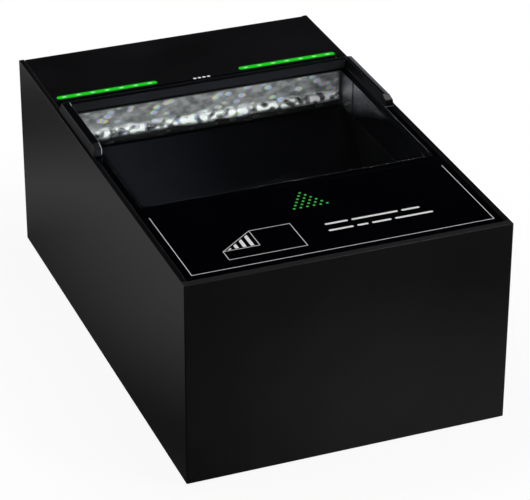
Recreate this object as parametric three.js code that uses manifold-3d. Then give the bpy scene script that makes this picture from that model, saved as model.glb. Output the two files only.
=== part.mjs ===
// A desktop passport reader: a dark box with a glass window in its top, on which a document lies face down.
// Lamps light the document from below, a sloping mirror turns its picture forward, and a camera in the
// front of the box reads it. A raised three-sided guide round the rear of the window squares the document up.
//
// Millimetres, +Z up, front of the reader towards -Y, origin on the table under the middle of the casing.

import * as THREE from "three";
import { mergeVertices } from "three/addons/utils/BufferGeometryUtils.js";
import Module from "manifold-3d";

const wasm = await Module();
wasm.setup();

// Casing
const casingWidth = 142;
const casingDepth = 222.5;
const sideWall = 2.4;
const frontWall = 3.3;
const casingCornerRadius = 0.5;
const ledgeWidth = 1.5;
const ledgeHeight = 3;
const cornerPost = 9;

// Covers in the top of the casing, from front to rear
const coverGap = 0.3;
const coverDepth = 3.6;
const coverSkin = 2;
const skirtWall = 1.4;
const frontPanelLength = 59.25;
const bezelLength = 111.2;
const deckEdgeRadius = 0.6;
const deckSetBack = 0.3;

// Window
const glassThickness = 3;
const glassCornerRadius = 0.6;
const pocketGap = 0.3;
const bezelFrontRail = 3.55;
const bezelSideRail = 2.5;
const bezelRearRail = 9.15;
const glassSeat = 1.3;
const antennaBorder = 2.2;
const antennaThickness = 0.3;
const gasketThickness = 0.6;
const filmInset = 0.2;

// Document guide on top of the bezel
const guideHeight = 4.8;
const guideInset = 1.2;
const guideOuterBevel = 0.8;
const guideTopWidth = 3.4;
const guideTopSlope = 2;
const guideTopFall = 0.4;
const guideUndercut = 1.3;
const guideBarOverGlass = 3.3;
const guideBarTop = 3;
const guideBarRearBevel = 2.4;
const guideArmLength = 44.5;
const guideNoseLength = 4;
const guideNoseHeight = 3.3;

// Light box, mirror and camera
const lightBoxDepth = 21;
const lightBoxWall = 2.2;
const lightBoxGap = 0.3;
const whiteLamps = 10;
const whiteLampWidth = 3.4;
const whiteLampHeight = 2.8;
const whiteLampDepth = 1.2;
const lampBoardHeight = 9;
const lampBoardFromFoot = 2;
const lampBoardSideMargin = 8;
const mirrorSlope = THREE.MathUtils.degToRad(36);
const mirrorThickness = 3;
const mirrorRearGap = 3;
const mirrorFrontSetBack = 3.7;
const mirrorSideGap = 1;
const mirrorFootLift = 5.4;
const seatGap = 0.3;
const mirrorRail = 4;
const mirrorRailThickness = 3;
const mirrorRailSetBack = 4;
const bracketShoulder = 18;
const bracketRearDepth = 12;
const bracketToBoard = 3;
const bracketFlange = 7;
const bracketFlangeThickness = 1.2;
const bracketFlangeSetBack = 2;
const cameraFromFront = 22;
const cameraBoardSize = 38;
const lensRadius = 7;
const lensLength = 15;
const lensMountSize = 17;
const lensMountDepth = 7;
const lensMountFloor = 1;
const lensSleeve = 1.4;
const lensSleeveLength = 3;
const lensHead = 4;
const lensRim = 1;
const lensCone = 1.2;
const lensRecess = 3;
const lensGlassGap = 0.2;
const lensGlassHeight = 1.6;
const cameraBracketWidth = 34;
const cameraBracketSheet = 1.5;
const cameraBracketFoot = 9;
const cameraBracketKnee = 1;

// Indicator lights
const lightStripLength = 47;
const lightStripWidth = 3.4;
const lightStripGap = 0.2;
const lightStripSideMargin = 1.6;
const lightStripFromSeam = 3.4;
const lightStripLip = 1.5;
const lightStripLipThickness = 1.2;
const lightStripLamps = 7;
const indicatorBoardLength = 11;
const indicatorBoardGap = 0.4;
const pointerRows = 6;
const pointerPitchX = 2.94;
const pointerPitchY = 2.42;
const pointerTipFromSeam = 7;
const pointerDotRadius = 0.6;
const pointerHoleGap = 0.12;
const pointerMargin = 2;
const pointerLampColumns = 4;
const pointerLampRows = 2;
const lightGuideBase = 1.2;
const lampHeight = 1;
const lampSize = 2;
const lampGap = 0.3;
const solderDepth = 0.2;
const pinRadius = 1;
const pinShoulder = 1.8;
const pinGap = 0.2;
const pinHead = 0.6;
const pinFromGuide = 3;
const pinFromStrip = 2;
const pinFromEdge = 3;
const pinBehindStrip = 1;

// Circuit boards and what they carry
const boardThickness = 1.6;
const standoffHeight = 6;
const standoffRadius = 3;
const standoffFloor = 0.5;
const boardWidth = 100;
const boardLength = 88;
const boardHoleInset = 5;
const boardHoleFromRear = 20;
const boardToPanel = 1;
const usbWidth = 12;
const usbHeight = 11;
const usbLength = 16;
const usbCentre = -18;
const usbMouthWidth = 8.5;
const usbMouthHeight = 7.8;
const usbMouthUp = 1.5;
const usbMouthKey = 1.7;
const usbMouthDepth = 9;
const usbTongueWidth = 5.6;
const usbTongueHeight = 3.2;
const usbTongueUp = 2.3;
const powerWidth = 9;
const powerHeight = 11;
const powerLength = 14;
const powerCentre = 22;
const powerBoreRadius = 3.2;
const powerBoreDepth = 9.5;
const powerPinRadius = 1;
const contactSetBack = 1;
const chipSize = 20;
const chipFromFront = 37;
const heatSinkFromEdge = 12;
const heatSinkSize = 28;
const heatSinkBase = 2.4;
const heatSinkFins = 7;
const heatSinkFin = 1.2;
const heatSinkHeight = 12;
const chipHeight = 1.6;
const buzzerRadius = 6;
const buzzerHeight = 8;
const buzzerHoleRadius = 1.2;
const buzzerHoleDepth = 1.5;
const buzzerFromRear = 30;
const radioLength = 30;
const radioWidth = 24;
const radioHeight = 3.4;
const radioCornerRadius = 1;
const radioFromEdge = 14;
const ribbonWidth = 14;
const ribbonThickness = 0.5;
const ribbonClearance = 0.4;
const ribbonSeat = 4;
const ribbonBend = 2.5;
const connectorSetBack = 1;
const connectorHeight = 3;
const connectorWidth = 18;
const connectorLength = 5;

// Base, rear panel, feet and screws
const basePlateThickness = 1.6;
const basePlateGap = 0.3;
const basePlateCornerRadius = 1;
const rearPanelThickness = 2.2;
const rearPanelSetBack = 1.5;
const socketGap = 0.3;
const socketSetBack = 0.2;
const lockSlotWidth = 7;
const lockSlotHeight = 3;
const lockSlotCentre = -48;
const lockSlotAboveBase = 14;
const lockSlotCornerRadius = 1;
const footHeight = 2;
const footRadius = 6.5;
const footInset = 20;
const screwRadius = 1.5;
const screwHoleGap = 0.2;
const screwHeadRadius = 2.8;
const screwHeadHeight = 1.2;
const screwReach = 8;
const screwEndGap = 1;

// Cutters run this far past the faces that they cut, and pieces to be joined this far into each other.
const beyond = 1;
const lap = 0.5;

// Places worked out from the sizes above
const halfWidth = casingWidth / 2;
const front = -casingDepth / 2;
const rear = casingDepth / 2;
const innerHalf = halfWidth - sideWall;
const coverHalf = innerHalf - coverGap;
const frontPanelFront = front + frontWall + coverGap;
const frontPanelRear = frontPanelFront + frontPanelLength;
const bezelFront = frontPanelRear + coverGap;
const bezelRear = bezelFront + bezelLength;
const glassWidth = 2 * (coverHalf - bezelSideRail - pocketGap);
const glassLength = bezelLength - bezelFrontRail - bezelRearRail - 2 * pocketGap;

// The folded view sets the height: the light box, the fall of the mirror under it, and the mirror's foot
// over the base plate. It is rounded to a tenth of a millimetre.
const mirrorRun = glassLength - 2 * glassSeat - mirrorRearGap - mirrorFrontSetBack;
const mirrorFall = mirrorRun * Math.tan(mirrorSlope);
const casingHeight = Math.round(10 * (lightBoxDepth + mirrorFall + mirrorFootLift + basePlateThickness)) / 10;
const bottom = footHeight;
const top = bottom + casingHeight;
const coverBottom = top - coverDepth;
const floor = bottom + basePlateThickness;
const deckFront = bezelRear + coverGap;
const deckRear = rear - deckSetBack;
const rearPanelOuter = rear - rearPanelSetBack;
const rearPanelInner = rearPanelOuter - rearPanelThickness;
const glassFront = bezelFront + bezelFrontRail + pocketGap;
const glassRear = glassFront + glassLength;
const glassHalf = glassWidth / 2;
const glassBottom = top - glassThickness;
const antennaBottom = glassBottom - antennaThickness;
const lightBoxTop = antennaBottom - gasketThickness;
const lightBoxBottom = top - lightBoxDepth;
const lightBoxHalf = glassHalf - glassSeat;
const lightBoxFront = glassFront + glassSeat;
const lightBoxRear = glassRear - glassSeat;
const mirrorRear = lightBoxRear - mirrorRearGap;
const mirrorFront = lightBoxFront + mirrorFrontSetBack;
const mirrorHalf = lightBoxHalf - mirrorSideGap;
const boardRear = rearPanelInner - boardToPanel;
const boardFront = boardRear - boardLength;
const boardBottom = floor + standoffHeight;
const boardTop = boardBottom + boardThickness;
const lightStripCentre = coverHalf - lightStripSideMargin - lightStripLength / 2;
const facets = 16;

const finishes = {
  casing: { color: 0x17181a, roughness: 0.5, metalness: 0 },
  gloss: { color: 0x050607, roughness: 0.08, metalness: 0 },
  bezel: { color: 0x101216, roughness: 0.3, metalness: 0 },
  glass: { color: 0xdfe8e6, roughness: 0.03, metalness: 0, transparent: true, opacity: 0.25 },
  foam: { color: 0x111111, roughness: 0.95, metalness: 0 },
  foil: { color: 0xb8bcc0, roughness: 0.3, metalness: 0.9 },
  mirror: { color: 0x55595f, roughness: 0.04, metalness: 1 },
  steel: { color: 0x9a9da1, roughness: 0.35, metalness: 1 },
  blackSteel: { color: 0x202225, roughness: 0.5, metalness: 0.4 },
  board: { color: 0x14432a, roughness: 0.45, metalness: 0 },
  copper: { color: 0x3a2b1c, roughness: 0.5, metalness: 0.3 },
  green: { color: 0x1fd93a, roughness: 0.3, metalness: 0, emissive: 0x0c8a1e },
  plastic: { color: 0x1c1d20, roughness: 0.6, metalness: 0 },
  aluminium: { color: 0xaeb2b6, roughness: 0.4, metalness: 1 },
  rubber: { color: 0x0d0d0e, roughness: 0.9, metalness: 0 },
  ribbon: { color: 0xcfd2d4, roughness: 0.5, metalness: 0 },
};

const reader = new THREE.Group();

// Adds one named piece to the reader, or to a turned group inside it.
function add(name, geometry, finish, parent = reader) {
  const mesh = new THREE.Mesh(geometry, new THREE.MeshStandardMaterial(finishes[finish]));
  mesh.name = name;
  parent.add(mesh);
  return mesh;
}

// Joining and cutting of closed geometries. Points are rounded to a thousandth of a millimetre first,
// so that faces worked out in different ways meet exactly.
const grid = 1000;

function toSolid(geometry) {
  const bare = geometry.clone();
  const points = bare.attributes.position.array;
  points.forEach((value, i) => (points[i] = Math.round(value * grid) / grid));
  bare.deleteAttribute("normal");
  bare.deleteAttribute("uv");
  const merged = mergeVertices(bare, 1e-4);
  return new wasm.Manifold(
    new wasm.Mesh({
      numProp: 3,
      vertProperties: merged.attributes.position.array,
      triVerts: new Uint32Array(merged.index.array),
    }),
  );
}

function toGeometry(solid) {
  const mesh = solid.getMesh();
  const geometry = new THREE.BufferGeometry();
  geometry.setAttribute("position", new THREE.BufferAttribute(mesh.vertProperties, 3));
  geometry.setIndex(new THREE.BufferAttribute(mesh.triVerts, 1));
  geometry.computeVertexNormals();
  return geometry;
}

function join(...geometries) {
  return toGeometry(geometries.map(toSolid).reduce((whole, piece) => whole.add(piece)));
}

function cut(geometry, ...tools) {
  return toGeometry(tools.map(toSolid).reduce((whole, tool) => whole.subtract(tool), toSolid(geometry)));
}

// Basic forms
function box(x0, x1, y0, y1, z0, z1) {
  const block = new THREE.BoxGeometry(x1 - x0, y1 - y0, z1 - z0);
  return block.translate((x0 + x1) / 2, (y0 + y1) / 2, (z0 + z1) / 2);
}

// A rectangle with round corners, as an outline to extrude.
function rectangle(x0, x1, y0, y1, radius = 0) {
  const shape = new THREE.Shape();
  if (radius <= 0) {
    shape.moveTo(x0, y0).lineTo(x1, y0).lineTo(x1, y1).lineTo(x0, y1).closePath();
    return shape;
  }
  shape.absarc(x1 - radius, y0 + radius, radius, -Math.PI / 2, 0);
  shape.absarc(x1 - radius, y1 - radius, radius, 0, Math.PI / 2);
  shape.absarc(x0 + radius, y1 - radius, radius, Math.PI / 2, Math.PI);
  shape.absarc(x0 + radius, y0 + radius, radius, Math.PI, (3 * Math.PI) / 2);
  return shape.closePath();
}

function polygon(points) {
  return new THREE.Shape(points.map(([a, b]) => new THREE.Vector2(a, b)));
}

// A sheet or ribbon seen edge on: the path is one face, and the sheet lies to the left of it.
function strip(path, thickness) {
  const points = path.map(([a, b]) => new THREE.Vector2(a, b));
  const normals = points.slice(1).map((p, i) => {
    const along = p.clone().sub(points[i]).normalize();
    return new THREE.Vector2(-along.y, along.x);
  });
  const left = points.map((p, i) => {
    const before = normals[Math.max(i - 1, 0)];
    const after = normals[Math.min(i, normals.length - 1)];
    const mitre = before.clone().add(after).multiplyScalar(thickness / (1 + before.dot(after)));
    return p.clone().add(mitre);
  });
  return new THREE.Shape([...points, ...left.reverse()]);
}

// An outline in X and Y, raised from z0 to z1.
function upright(shape, z0, z1, curveSegments = 4) {
  const settings = { depth: z1 - z0, bevelEnabled: false, curveSegments };
  return new THREE.ExtrudeGeometry(shape, settings).translate(0, 0, z0);
}

// An outline in Y and Z, swept from x0 to x1.
function acrossX(shape, x0, x1, curveSegments = 4) {
  const turn = new THREE.Matrix4().makeBasis(
    new THREE.Vector3(0, 1, 0),
    new THREE.Vector3(0, 0, 1),
    new THREE.Vector3(1, 0, 0),
  );
  return upright(shape, 0, x1 - x0, curveSegments).applyMatrix4(turn).translate(x0, 0, 0);
}

// An outline in X and Z, swept from y0 to y1.
function alongY(shape, y0, y1, curveSegments = 4) {
  return upright(shape, 0, y1 - y0, curveSegments)
    .rotateX(Math.PI / 2)
    .translate(0, y1, 0);
}

function post(x, y, radius, z0, z1, sides = facets) {
  return new THREE.CylinderGeometry(radius, radius, z1 - z0, sides)
    .rotateX(Math.PI / 2)
    .translate(x, y, (z0 + z1) / 2);
}

// A cylinder that lies along Y, from y0 to y1.
function bar(x, z, radius, y0, y1, sides = facets) {
  return new THREE.CylinderGeometry(radius, radius, y1 - y0, sides).translate(x, (y0 + y1) / 2, z);
}

// A profile of [radius, height] points turned about the Z axis.
function turned(profile, sides = 24) {
  return new THREE.LatheGeometry(
    profile.map(([r, h]) => new THREE.Vector2(r, h)),
    sides,
  ).rotateX(Math.PI / 2);
}

const sides = [
  ["left", -1],
  ["right", 1],
];
const ends = [
  ["front", -1],
  ["rear", 1],
];

// Corner posts inside the casing, which the base plate and the rear panel are screwed to
const postX = innerHalf - cornerPost / 2;
const postFrontY = front + frontWall + cornerPost / 2;
const postRearY = rearPanelInner - cornerPost / 2;
const rearScrewZ = (bottom + coverBottom) / 2;

function postY(end) {
  return end < 0 ? postFrontY : postRearY;
}

// Front wall and side walls in one moulding: open at the rear, with a ledge that the covers rest on.
function housing() {
  const cornerX = halfWidth - casingCornerRadius;
  const cornerY = front + casingCornerRadius;
  const outline = new THREE.Shape();
  outline.moveTo(-halfWidth, rear);
  outline.lineTo(-halfWidth, cornerY);
  outline.absarc(-cornerX, cornerY, casingCornerRadius, Math.PI, 1.5 * Math.PI);
  outline.absarc(cornerX, cornerY, casingCornerRadius, 1.5 * Math.PI, 2 * Math.PI);
  outline.lineTo(halfWidth, rear);
  outline.lineTo(innerHalf, rear);
  outline.lineTo(innerHalf, front + frontWall);
  outline.lineTo(-innerHalf, front + frontWall);
  outline.lineTo(-innerHalf, rear);
  outline.closePath();
  const walls = upright(outline, bottom, top);

  const ledgeHalf = innerHalf - ledgeWidth;
  const ledgeFront = front + frontWall + ledgeWidth;
  const ledge = polygon([
    [-innerHalf, rearPanelInner],
    [-innerHalf, front + frontWall],
    [innerHalf, front + frontWall],
    [innerHalf, rearPanelInner],
    [ledgeHalf, rearPanelInner],
    [ledgeHalf, ledgeFront],
    [-ledgeHalf, ledgeFront],
    [-ledgeHalf, rearPanelInner],
  ]);

  const posts = [];
  const bores = [];
  for (const [, side] of sides) {
    for (const [, end] of ends) {
      const x = side * postX;
      const y = postY(end);
      const half = cornerPost / 2;
      posts.push(box(x - half, x + half, y - half, y + half, floor, coverBottom));
      bores.push(post(x, y, screwRadius + screwHoleGap, floor - beyond, floor + screwReach + screwEndGap));
    }
    const boreEnds = [rearPanelInner - screwReach, rearPanelInner + beyond];
    bores.push(bar(side * postX, rearScrewZ, screwRadius + screwHoleGap, ...boreEnds));
  }
  const shell = join(walls, upright(ledge, coverBottom - ledgeHeight, coverBottom), ...posts);
  add("housing", cut(shell, ...bores), "casing");
}

function basePlate() {
  const half = innerHalf - basePlateGap;
  const y0 = front + frontWall + basePlateGap;
  const y1 = rearPanelInner - basePlateGap;
  const plate = upright(rectangle(-half, half, y0, y1, basePlateCornerRadius), bottom, floor);
  const standoffs = boardHoles().map(([x, y]) => post(x, y, standoffRadius, floor, boardBottom));
  const bores = boardHoles().map(([x, y]) =>
    post(x, y, screwRadius + screwHoleGap, floor + standoffFloor, boardBottom + beyond),
  );
  for (const [, side] of sides) {
    for (const [, end] of ends) {
      bores.push(post(side * postX, postY(end), screwRadius + screwHoleGap, bottom - beyond, floor + beyond));
    }
  }
  add("base_plate", cut(join(plate, ...standoffs), ...bores), "blackSteel");
}

function boardHoles() {
  const x = boardWidth / 2 - boardHoleInset;
  return [
    [-x, boardFront + boardHoleInset],
    [x, boardFront + boardHoleInset],
    [-x, boardRear - boardHoleFromRear],
    [x, boardRear - boardHoleFromRear],
  ];
}

// A pan-head screw along +Z with its head below z = 0 and its tip at z = reach.
function screw(reach) {
  const head = screwHeadRadius;
  return turned(
    [
      [0, -screwHeadHeight],
      [head * 0.7, -screwHeadHeight],
      [head, -screwHeadHeight * 0.4],
      [head, 0],
      [screwRadius, 0],
      [screwRadius, reach - screwRadius],
      [0, reach],
    ],
    facets,
  );
}

function baseScrews() {
  for (const [endName, end] of ends) {
    for (const [sideName, side] of sides) {
      const mesh = add(`base_screw_${endName}_${sideName}`, screw(basePlateThickness + screwReach), "steel");
      mesh.position.set(side * postX, postY(end), bottom);
    }
  }
}

function rearScrews() {
  for (const [sideName, side] of sides) {
    const reach = rearPanelThickness + screwReach - screwEndGap;
    const mesh = add(`rear_screw_${sideName}`, screw(reach).rotateX(Math.PI / 2), "steel");
    mesh.position.set(side * postX, rearPanelOuter, rearScrewZ);
  }
}

function boardScrews() {
  const reach = boardThickness + standoffHeight - standoffFloor - screwEndGap;
  boardHoles().forEach(([x, y], i) => {
    const mesh = add(`board_screw_${i + 1}`, screw(reach).rotateX(Math.PI), "steel");
    mesh.position.set(x, y, boardTop);
  });
}

// A rubber foot with a slightly domed sole, flat against the base plate.
function feet() {
  for (const [endName, end] of ends) {
    for (const [sideName, side] of sides) {
      const foot = turned([
        [0, 0],
        [footRadius * 0.75, 0],
        [footRadius * 0.95, footHeight * 0.35],
        [footRadius, footHeight],
        [0, footHeight],
      ]);
      const mesh = add(`foot_${endName}_${sideName}`, foot, "rubber");
      mesh.position.set(side * (halfWidth - footInset), end * (casingDepth / 2 - footInset), 0);
    }
  }
}

// Rear wall with the cut-outs of the two sockets, the lock slot and two screw holes.
function rearPanel() {
  const half = innerHalf - coverGap;
  const panel = box(-half, half, rearPanelInner, rearPanelOuter, bottom, coverBottom);
  const through = [rearPanelInner - beyond, rearPanelOuter + beyond];
  const usbHalf = usbWidth / 2 + socketGap;
  const powerHalf = powerWidth / 2 + socketGap;
  const lockZ = bottom + lockSlotAboveBase;
  const lock = rectangle(
    lockSlotCentre - lockSlotWidth / 2,
    lockSlotCentre + lockSlotWidth / 2,
    lockZ - lockSlotHeight / 2,
    lockZ + lockSlotHeight / 2,
    lockSlotCornerRadius,
  );
  const low = boardTop - socketGap;
  const usb = rectangle(usbCentre - usbHalf, usbCentre + usbHalf, low, boardTop + usbHeight + socketGap);
  const powerTop = boardTop + powerHeight + socketGap;
  const power = rectangle(powerCentre - powerHalf, powerCentre + powerHalf, low, powerTop);
  const holes = sides.map(([, side]) => bar(side * postX, rearScrewZ, screwRadius + screwHoleGap, ...through));
  const openings = [lock, usb, power].map((outline) => alongY(outline, ...through));
  add("rear_panel", cut(panel, ...openings, ...holes), "casing");
}

// Covers: a skin with a skirt round its edge that stands on the casing's ledge.
function tray(y0, y1) {
  const outer = box(-coverHalf, coverHalf, y0, y1, coverBottom, top);
  const hollow = box(
    -coverHalf + skirtWall,
    coverHalf - skirtWall,
    y0 + skirtWall,
    y1 - skirtWall,
    coverBottom - beyond,
    top - coverSkin,
  );
  return cut(outer, hollow);
}

// Rows of dots that form a triangle pointing at the window: one dot at the tip, one more in each row.
function pointerDots() {
  const dots = [];
  for (let row = 0; row < pointerRows; row++) {
    for (let i = 0; i <= row; i++) {
      dots.push([(i - row / 2) * pointerPitchX, frontPanelRear - pointerTipFromSeam - row * pointerPitchY]);
    }
  }
  return dots;
}

const dotSides = 8;
const lightGuideTop = top - coverSkin;
const lightGuideBottom = lightGuideTop - lightGuideBase;
const pointerBoardTop = lightGuideBottom - lampGap - lampHeight;
const pointerHalf = (pointerRows / 2) * pointerPitchX + pointerMargin;
const pointerBase = frontPanelRear - pointerTipFromSeam - (pointerRows - 1) * pointerPitchY - pointerMargin;
const pointerTip = frontPanelRear - pointerTipFromSeam + pointerMargin;

// A shouldered pin under a cover, on which a small board is staked.
function stakePin(x, y, boardSurface) {
  return join(
    post(x, y, pinShoulder, boardSurface, top - coverSkin / 2, 12),
    post(x, y, pinRadius, boardSurface - boardThickness - pinHead, boardSurface + lap, 12),
  );
}

function stakeHoles(pins, boardSurface) {
  const ends = [boardSurface - boardThickness - beyond, boardSurface + beyond];
  return pins.map(([x, y]) => post(x, y, pinRadius + pinGap, ...ends, 12));
}

function pointerPins() {
  const x = pointerHalf + pinFromGuide;
  const y = (pointerBase + pointerTip) / 2;
  return [
    [-x, y],
    [x, y],
  ];
}

function frontPanel() {
  const holes = pointerDots().map(([x, y]) =>
    post(x, y, pointerDotRadius + pointerHoleGap, top - coverSkin - beyond, top + beyond, dotSides),
  );
  const pins = pointerPins().map(([x, y]) => stakePin(x, y, pointerBoardTop));
  add("front_panel", join(cut(tray(frontPanelFront, frontPanelRear), ...holes), ...pins), "gloss");
}

// One clear moulding: a plate under the front panel with a pip in each of its holes.
function pointerLightGuide() {
  const plate = box(-pointerHalf, pointerHalf, pointerBase, pointerTip, lightGuideBottom, lightGuideTop);
  const pips = pointerDots().map(([x, y]) => post(x, y, pointerDotRadius, lightGuideTop - lap, top, dotSides));
  add("pointer_light_guide", join(plate, ...pips), "green");
}

function pointerBoard() {
  const half = pointerHalf + pinFromGuide + pinFromEdge;
  const plate = box(-half, half, pointerBase, pointerTip, pointerBoardTop - boardThickness, pointerBoardTop);
  const lamps = [];
  for (let i = 0; i < pointerLampColumns; i++) {
    for (let j = 0; j < pointerLampRows; j++) {
      const x = THREE.MathUtils.lerp(-pointerHalf, pointerHalf, (i + 0.5) / pointerLampColumns);
      const y = THREE.MathUtils.lerp(pointerBase, pointerTip, (j + 0.5) / pointerLampRows);
      lamps.push(lamp(x, y, pointerBoardTop));
    }
  }
  add("pointer_board", cut(join(plate, ...lamps), ...stakeHoles(pointerPins(), pointerBoardTop)), "board");
}

function lamp(x, y, z) {
  const half = lampSize / 2;
  return box(x - half, x + half, y - half, y + half, z - solderDepth, z + lampHeight);
}

// Rear deck: a skin with a round rear edge, two slots for the light strips and pins for their board.
const lightStripY = deckFront + lightStripFromSeam;
const stripBottom = top - coverSkin - lightStripLipThickness;
const indicatorBoardTop = stripBottom - lampGap - lampHeight;

function indicatorPins() {
  const x = lightStripCentre - lightStripLength / 2 - lightStripLip - pinShoulder - pinFromStrip;
  return [
    [-x, lightStripY + pinBehindStrip],
    [x, lightStripY + pinBehindStrip],
  ];
}

function stadium(x, y, length, width) {
  return rectangle(x - length / 2, x + length / 2, y - width / 2, y + width / 2, width / 2 - 0.001);
}

function rearDeck() {
  const section = new THREE.Shape();
  section.moveTo(deckFront, coverBottom);
  section.lineTo(deckRear, coverBottom);
  section.absarc(deckRear - deckEdgeRadius, top - deckEdgeRadius, deckEdgeRadius, 0, Math.PI / 2);
  section.lineTo(deckFront, top);
  section.closePath();
  const hollow = box(
    -coverHalf + skirtWall,
    coverHalf - skirtWall,
    deckFront + skirtWall,
    deckRear - skirtWall,
    coverBottom - beyond,
    top - coverSkin,
  );
  const slotLength = lightStripLength + 2 * lightStripGap;
  const slotWidth = lightStripWidth + 2 * lightStripGap;
  const slots = sides.map(([, side]) =>
    upright(
      stadium(side * lightStripCentre, lightStripY, slotLength, slotWidth),
      top - coverSkin - beyond,
      top + beyond,
      6,
    ),
  );
  const pins = indicatorPins().map(([x, y]) => stakePin(x, y, indicatorBoardTop));
  const deck = cut(acrossX(section, -coverHalf, coverHalf, 5), hollow, ...slots);
  add("rear_deck", join(deck, ...pins), "casing");
}

// Each strip is a clear bar with a lip under the deck's skin, along its rear side and inner end.
function lightStrips() {
  for (const [sideName, side] of sides) {
    const x = side * lightStripCentre;
    const face = upright(stadium(x, lightStripY, lightStripLength, lightStripWidth), stripBottom, top, 6);
    const outerEnd = side * (lightStripCentre + lightStripLength / 2 - lightStripWidth / 2);
    const innerEnd = side * (lightStripCentre - lightStripLength / 2 - lightStripLip);
    const lip = box(
      Math.min(outerEnd, innerEnd),
      Math.max(outerEnd, innerEnd),
      lightStripY - lightStripWidth / 2,
      lightStripY + lightStripWidth / 2 + lightStripLip,
      stripBottom,
      top - coverSkin,
    );
    add(`light_strip_${sideName}`, join(face, lip), "green");
  }
}

function indicatorBoard() {
  const half = lightStripCentre + lightStripLength / 2;
  const y0 = deckFront + skirtWall + indicatorBoardGap;
  const y1 = y0 + indicatorBoardLength;
  const plate = box(-half, half, y0, y1, indicatorBoardTop - boardThickness, indicatorBoardTop);
  const lamps = [];
  const pitch = lightStripLength / lightStripLamps;
  for (const [, side] of sides) {
    for (let i = 0; i < lightStripLamps; i++) {
      const x = side * lightStripCentre + (i - (lightStripLamps - 1) / 2) * pitch;
      lamps.push(lamp(x, lightStripY, indicatorBoardTop));
    }
  }
  const holes = stakeHoles(indicatorPins(), indicatorBoardTop);
  add("indicator_board", cut(join(plate, ...lamps), ...holes), "board");
}

// Window bezel: a frame whose opening holds the glass flush with the top of the casing.
function windowBezel() {
  const outline = rectangle(-coverHalf, coverHalf, bezelFront, bezelRear);
  outline.holes.push(
    rectangle(
      -glassHalf - pocketGap,
      glassHalf + pocketGap,
      glassFront - pocketGap,
      glassRear + pocketGap,
      glassCornerRadius,
    ),
  );
  add("window_bezel", upright(outline, coverBottom, top, 3), "bezel");
}

function glassPane() {
  const outline = rectangle(-glassHalf, glassHalf, glassFront, glassRear, glassCornerRadius);
  add("glass_pane", upright(outline, glassBottom, top, 3), "glass");
}

// A rectangular frame that follows the glass, from `outer` to `inner` inside the glass edge.
function frameUnderGlass(outer, inner, z0, z1) {
  const outline = rectangle(-glassHalf + outer, glassHalf - outer, glassFront + outer, glassRear - outer);
  outline.holes.push(rectangle(-glassHalf + inner, glassHalf - inner, glassFront + inner, glassRear - inner));
  return upright(outline, z0, z1);
}

function antennaAndGasket() {
  add("antenna_loop", frameUnderGlass(filmInset, antennaBorder, antennaBottom, glassBottom), "copper");
  add("glass_gasket", frameUnderGlass(filmInset, glassSeat, lightBoxTop, antennaBottom), "foam");
}

// Document guide: a bar behind the document and an arm along each side. Its inner flanks lean over the
// window, so that a page can't ride up them, and the arms end in sloping noses.
function documentGuide() {
  const outer = halfWidth - guideInset;
  const topOuter = outer - guideOuterBevel;
  const topInner = topOuter - guideTopWidth;
  const topBend = topOuter - guideTopSlope;
  const inner = topInner + guideUndercut;
  const barFront = glassRear - guideBarOverGlass;
  const barTopFront = barFront - guideUndercut;
  const barTopRear = barTopFront + guideBarTop;
  const barRear = barTopRear + guideBarRearBevel;
  const armFront = barFront - guideArmLength;
  const crest = top + guideHeight;

  // The nose cuts both arms at once: vertical up to its own height, then sloping back to the crest.
  const nose = polygon([
    [armFront - beyond, top - beyond],
    [armFront, top - beyond],
    [armFront, top + guideNoseHeight],
    [armFront + guideNoseLength, crest],
    [armFront + guideNoseLength, crest + beyond],
    [armFront - beyond, crest + beyond],
  ]);
  const arms = sides.map(([, side]) => {
    const section = polygon([
      [side * inner, top],
      [side * topInner, crest],
      [side * topBend, crest],
      [side * topOuter, crest - guideTopFall],
      [side * outer, top],
    ]);
    return cut(alongY(section, armFront - lap, barRear), acrossX(nose, -halfWidth, halfWidth));
  });
  const rearFlank = polygon([
    [barRear, top - beyond],
    [barRear, top],
    [barTopRear, crest],
    [barTopRear, crest + beyond],
    [barRear + beyond, crest + beyond],
    [barRear + beyond, top - beyond],
  ]);
  const barSection = polygon([
    [barFront, top],
    [barTopFront, crest],
    [barRear, crest],
    [barRear, top],
  ]);
  const whole = join(acrossX(barSection, -topBend, topBend), ...arms);
  add("document_guide", cut(whole, acrossX(rearFlank, -halfWidth, halfWidth)), "bezel");
}

// Light box: four foil-lined walls under the edges of the glass.
function lightBox() {
  const outerHalf = lightBoxHalf + lightBoxWall;
  const y0 = lightBoxFront - lightBoxWall;
  const y1 = lightBoxRear + lightBoxWall;
  add("light_box_left", box(-outerHalf, -lightBoxHalf, y0, y1, lightBoxBottom, lightBoxTop), "foil");
  add("light_box_right", box(lightBoxHalf, outerHalf, y0, y1, lightBoxBottom, lightBoxTop), "foil");
  const half = lightBoxHalf - lightBoxGap;
  add("light_box_rear", box(-half, half, lightBoxRear, y1, lightBoxBottom, lightBoxTop), "foil");
  add("light_box_front", box(-half, half, y0, lightBoxFront, lightBoxBottom, lightBoxTop), "foil");
}

// White lamps on a strip of board against the front wall of the light box, shining at the rear wall.
function lampBoard() {
  const half = lightBoxHalf - lampBoardSideMargin;
  const z0 = lightBoxBottom + lampBoardFromFoot;
  const z1 = z0 + lampBoardHeight;
  const y1 = lightBoxFront + boardThickness;
  const plate = box(-half, half, lightBoxFront, y1, z0, z1);
  const lamps = [];
  for (let i = 0; i < whiteLamps; i++) {
    const block = new THREE.BoxGeometry(whiteLampWidth, whiteLampDepth + solderDepth, whiteLampHeight);
    const x = THREE.MathUtils.lerp(-half, half, (i + 0.5) / whiteLamps);
    lamps.push(block.translate(x, y1 + (whiteLampDepth - solderDepth) / 2, (z0 + z1) / 2));
  }
  add("lamp_board", join(plate, ...lamps), "board");
}

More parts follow.
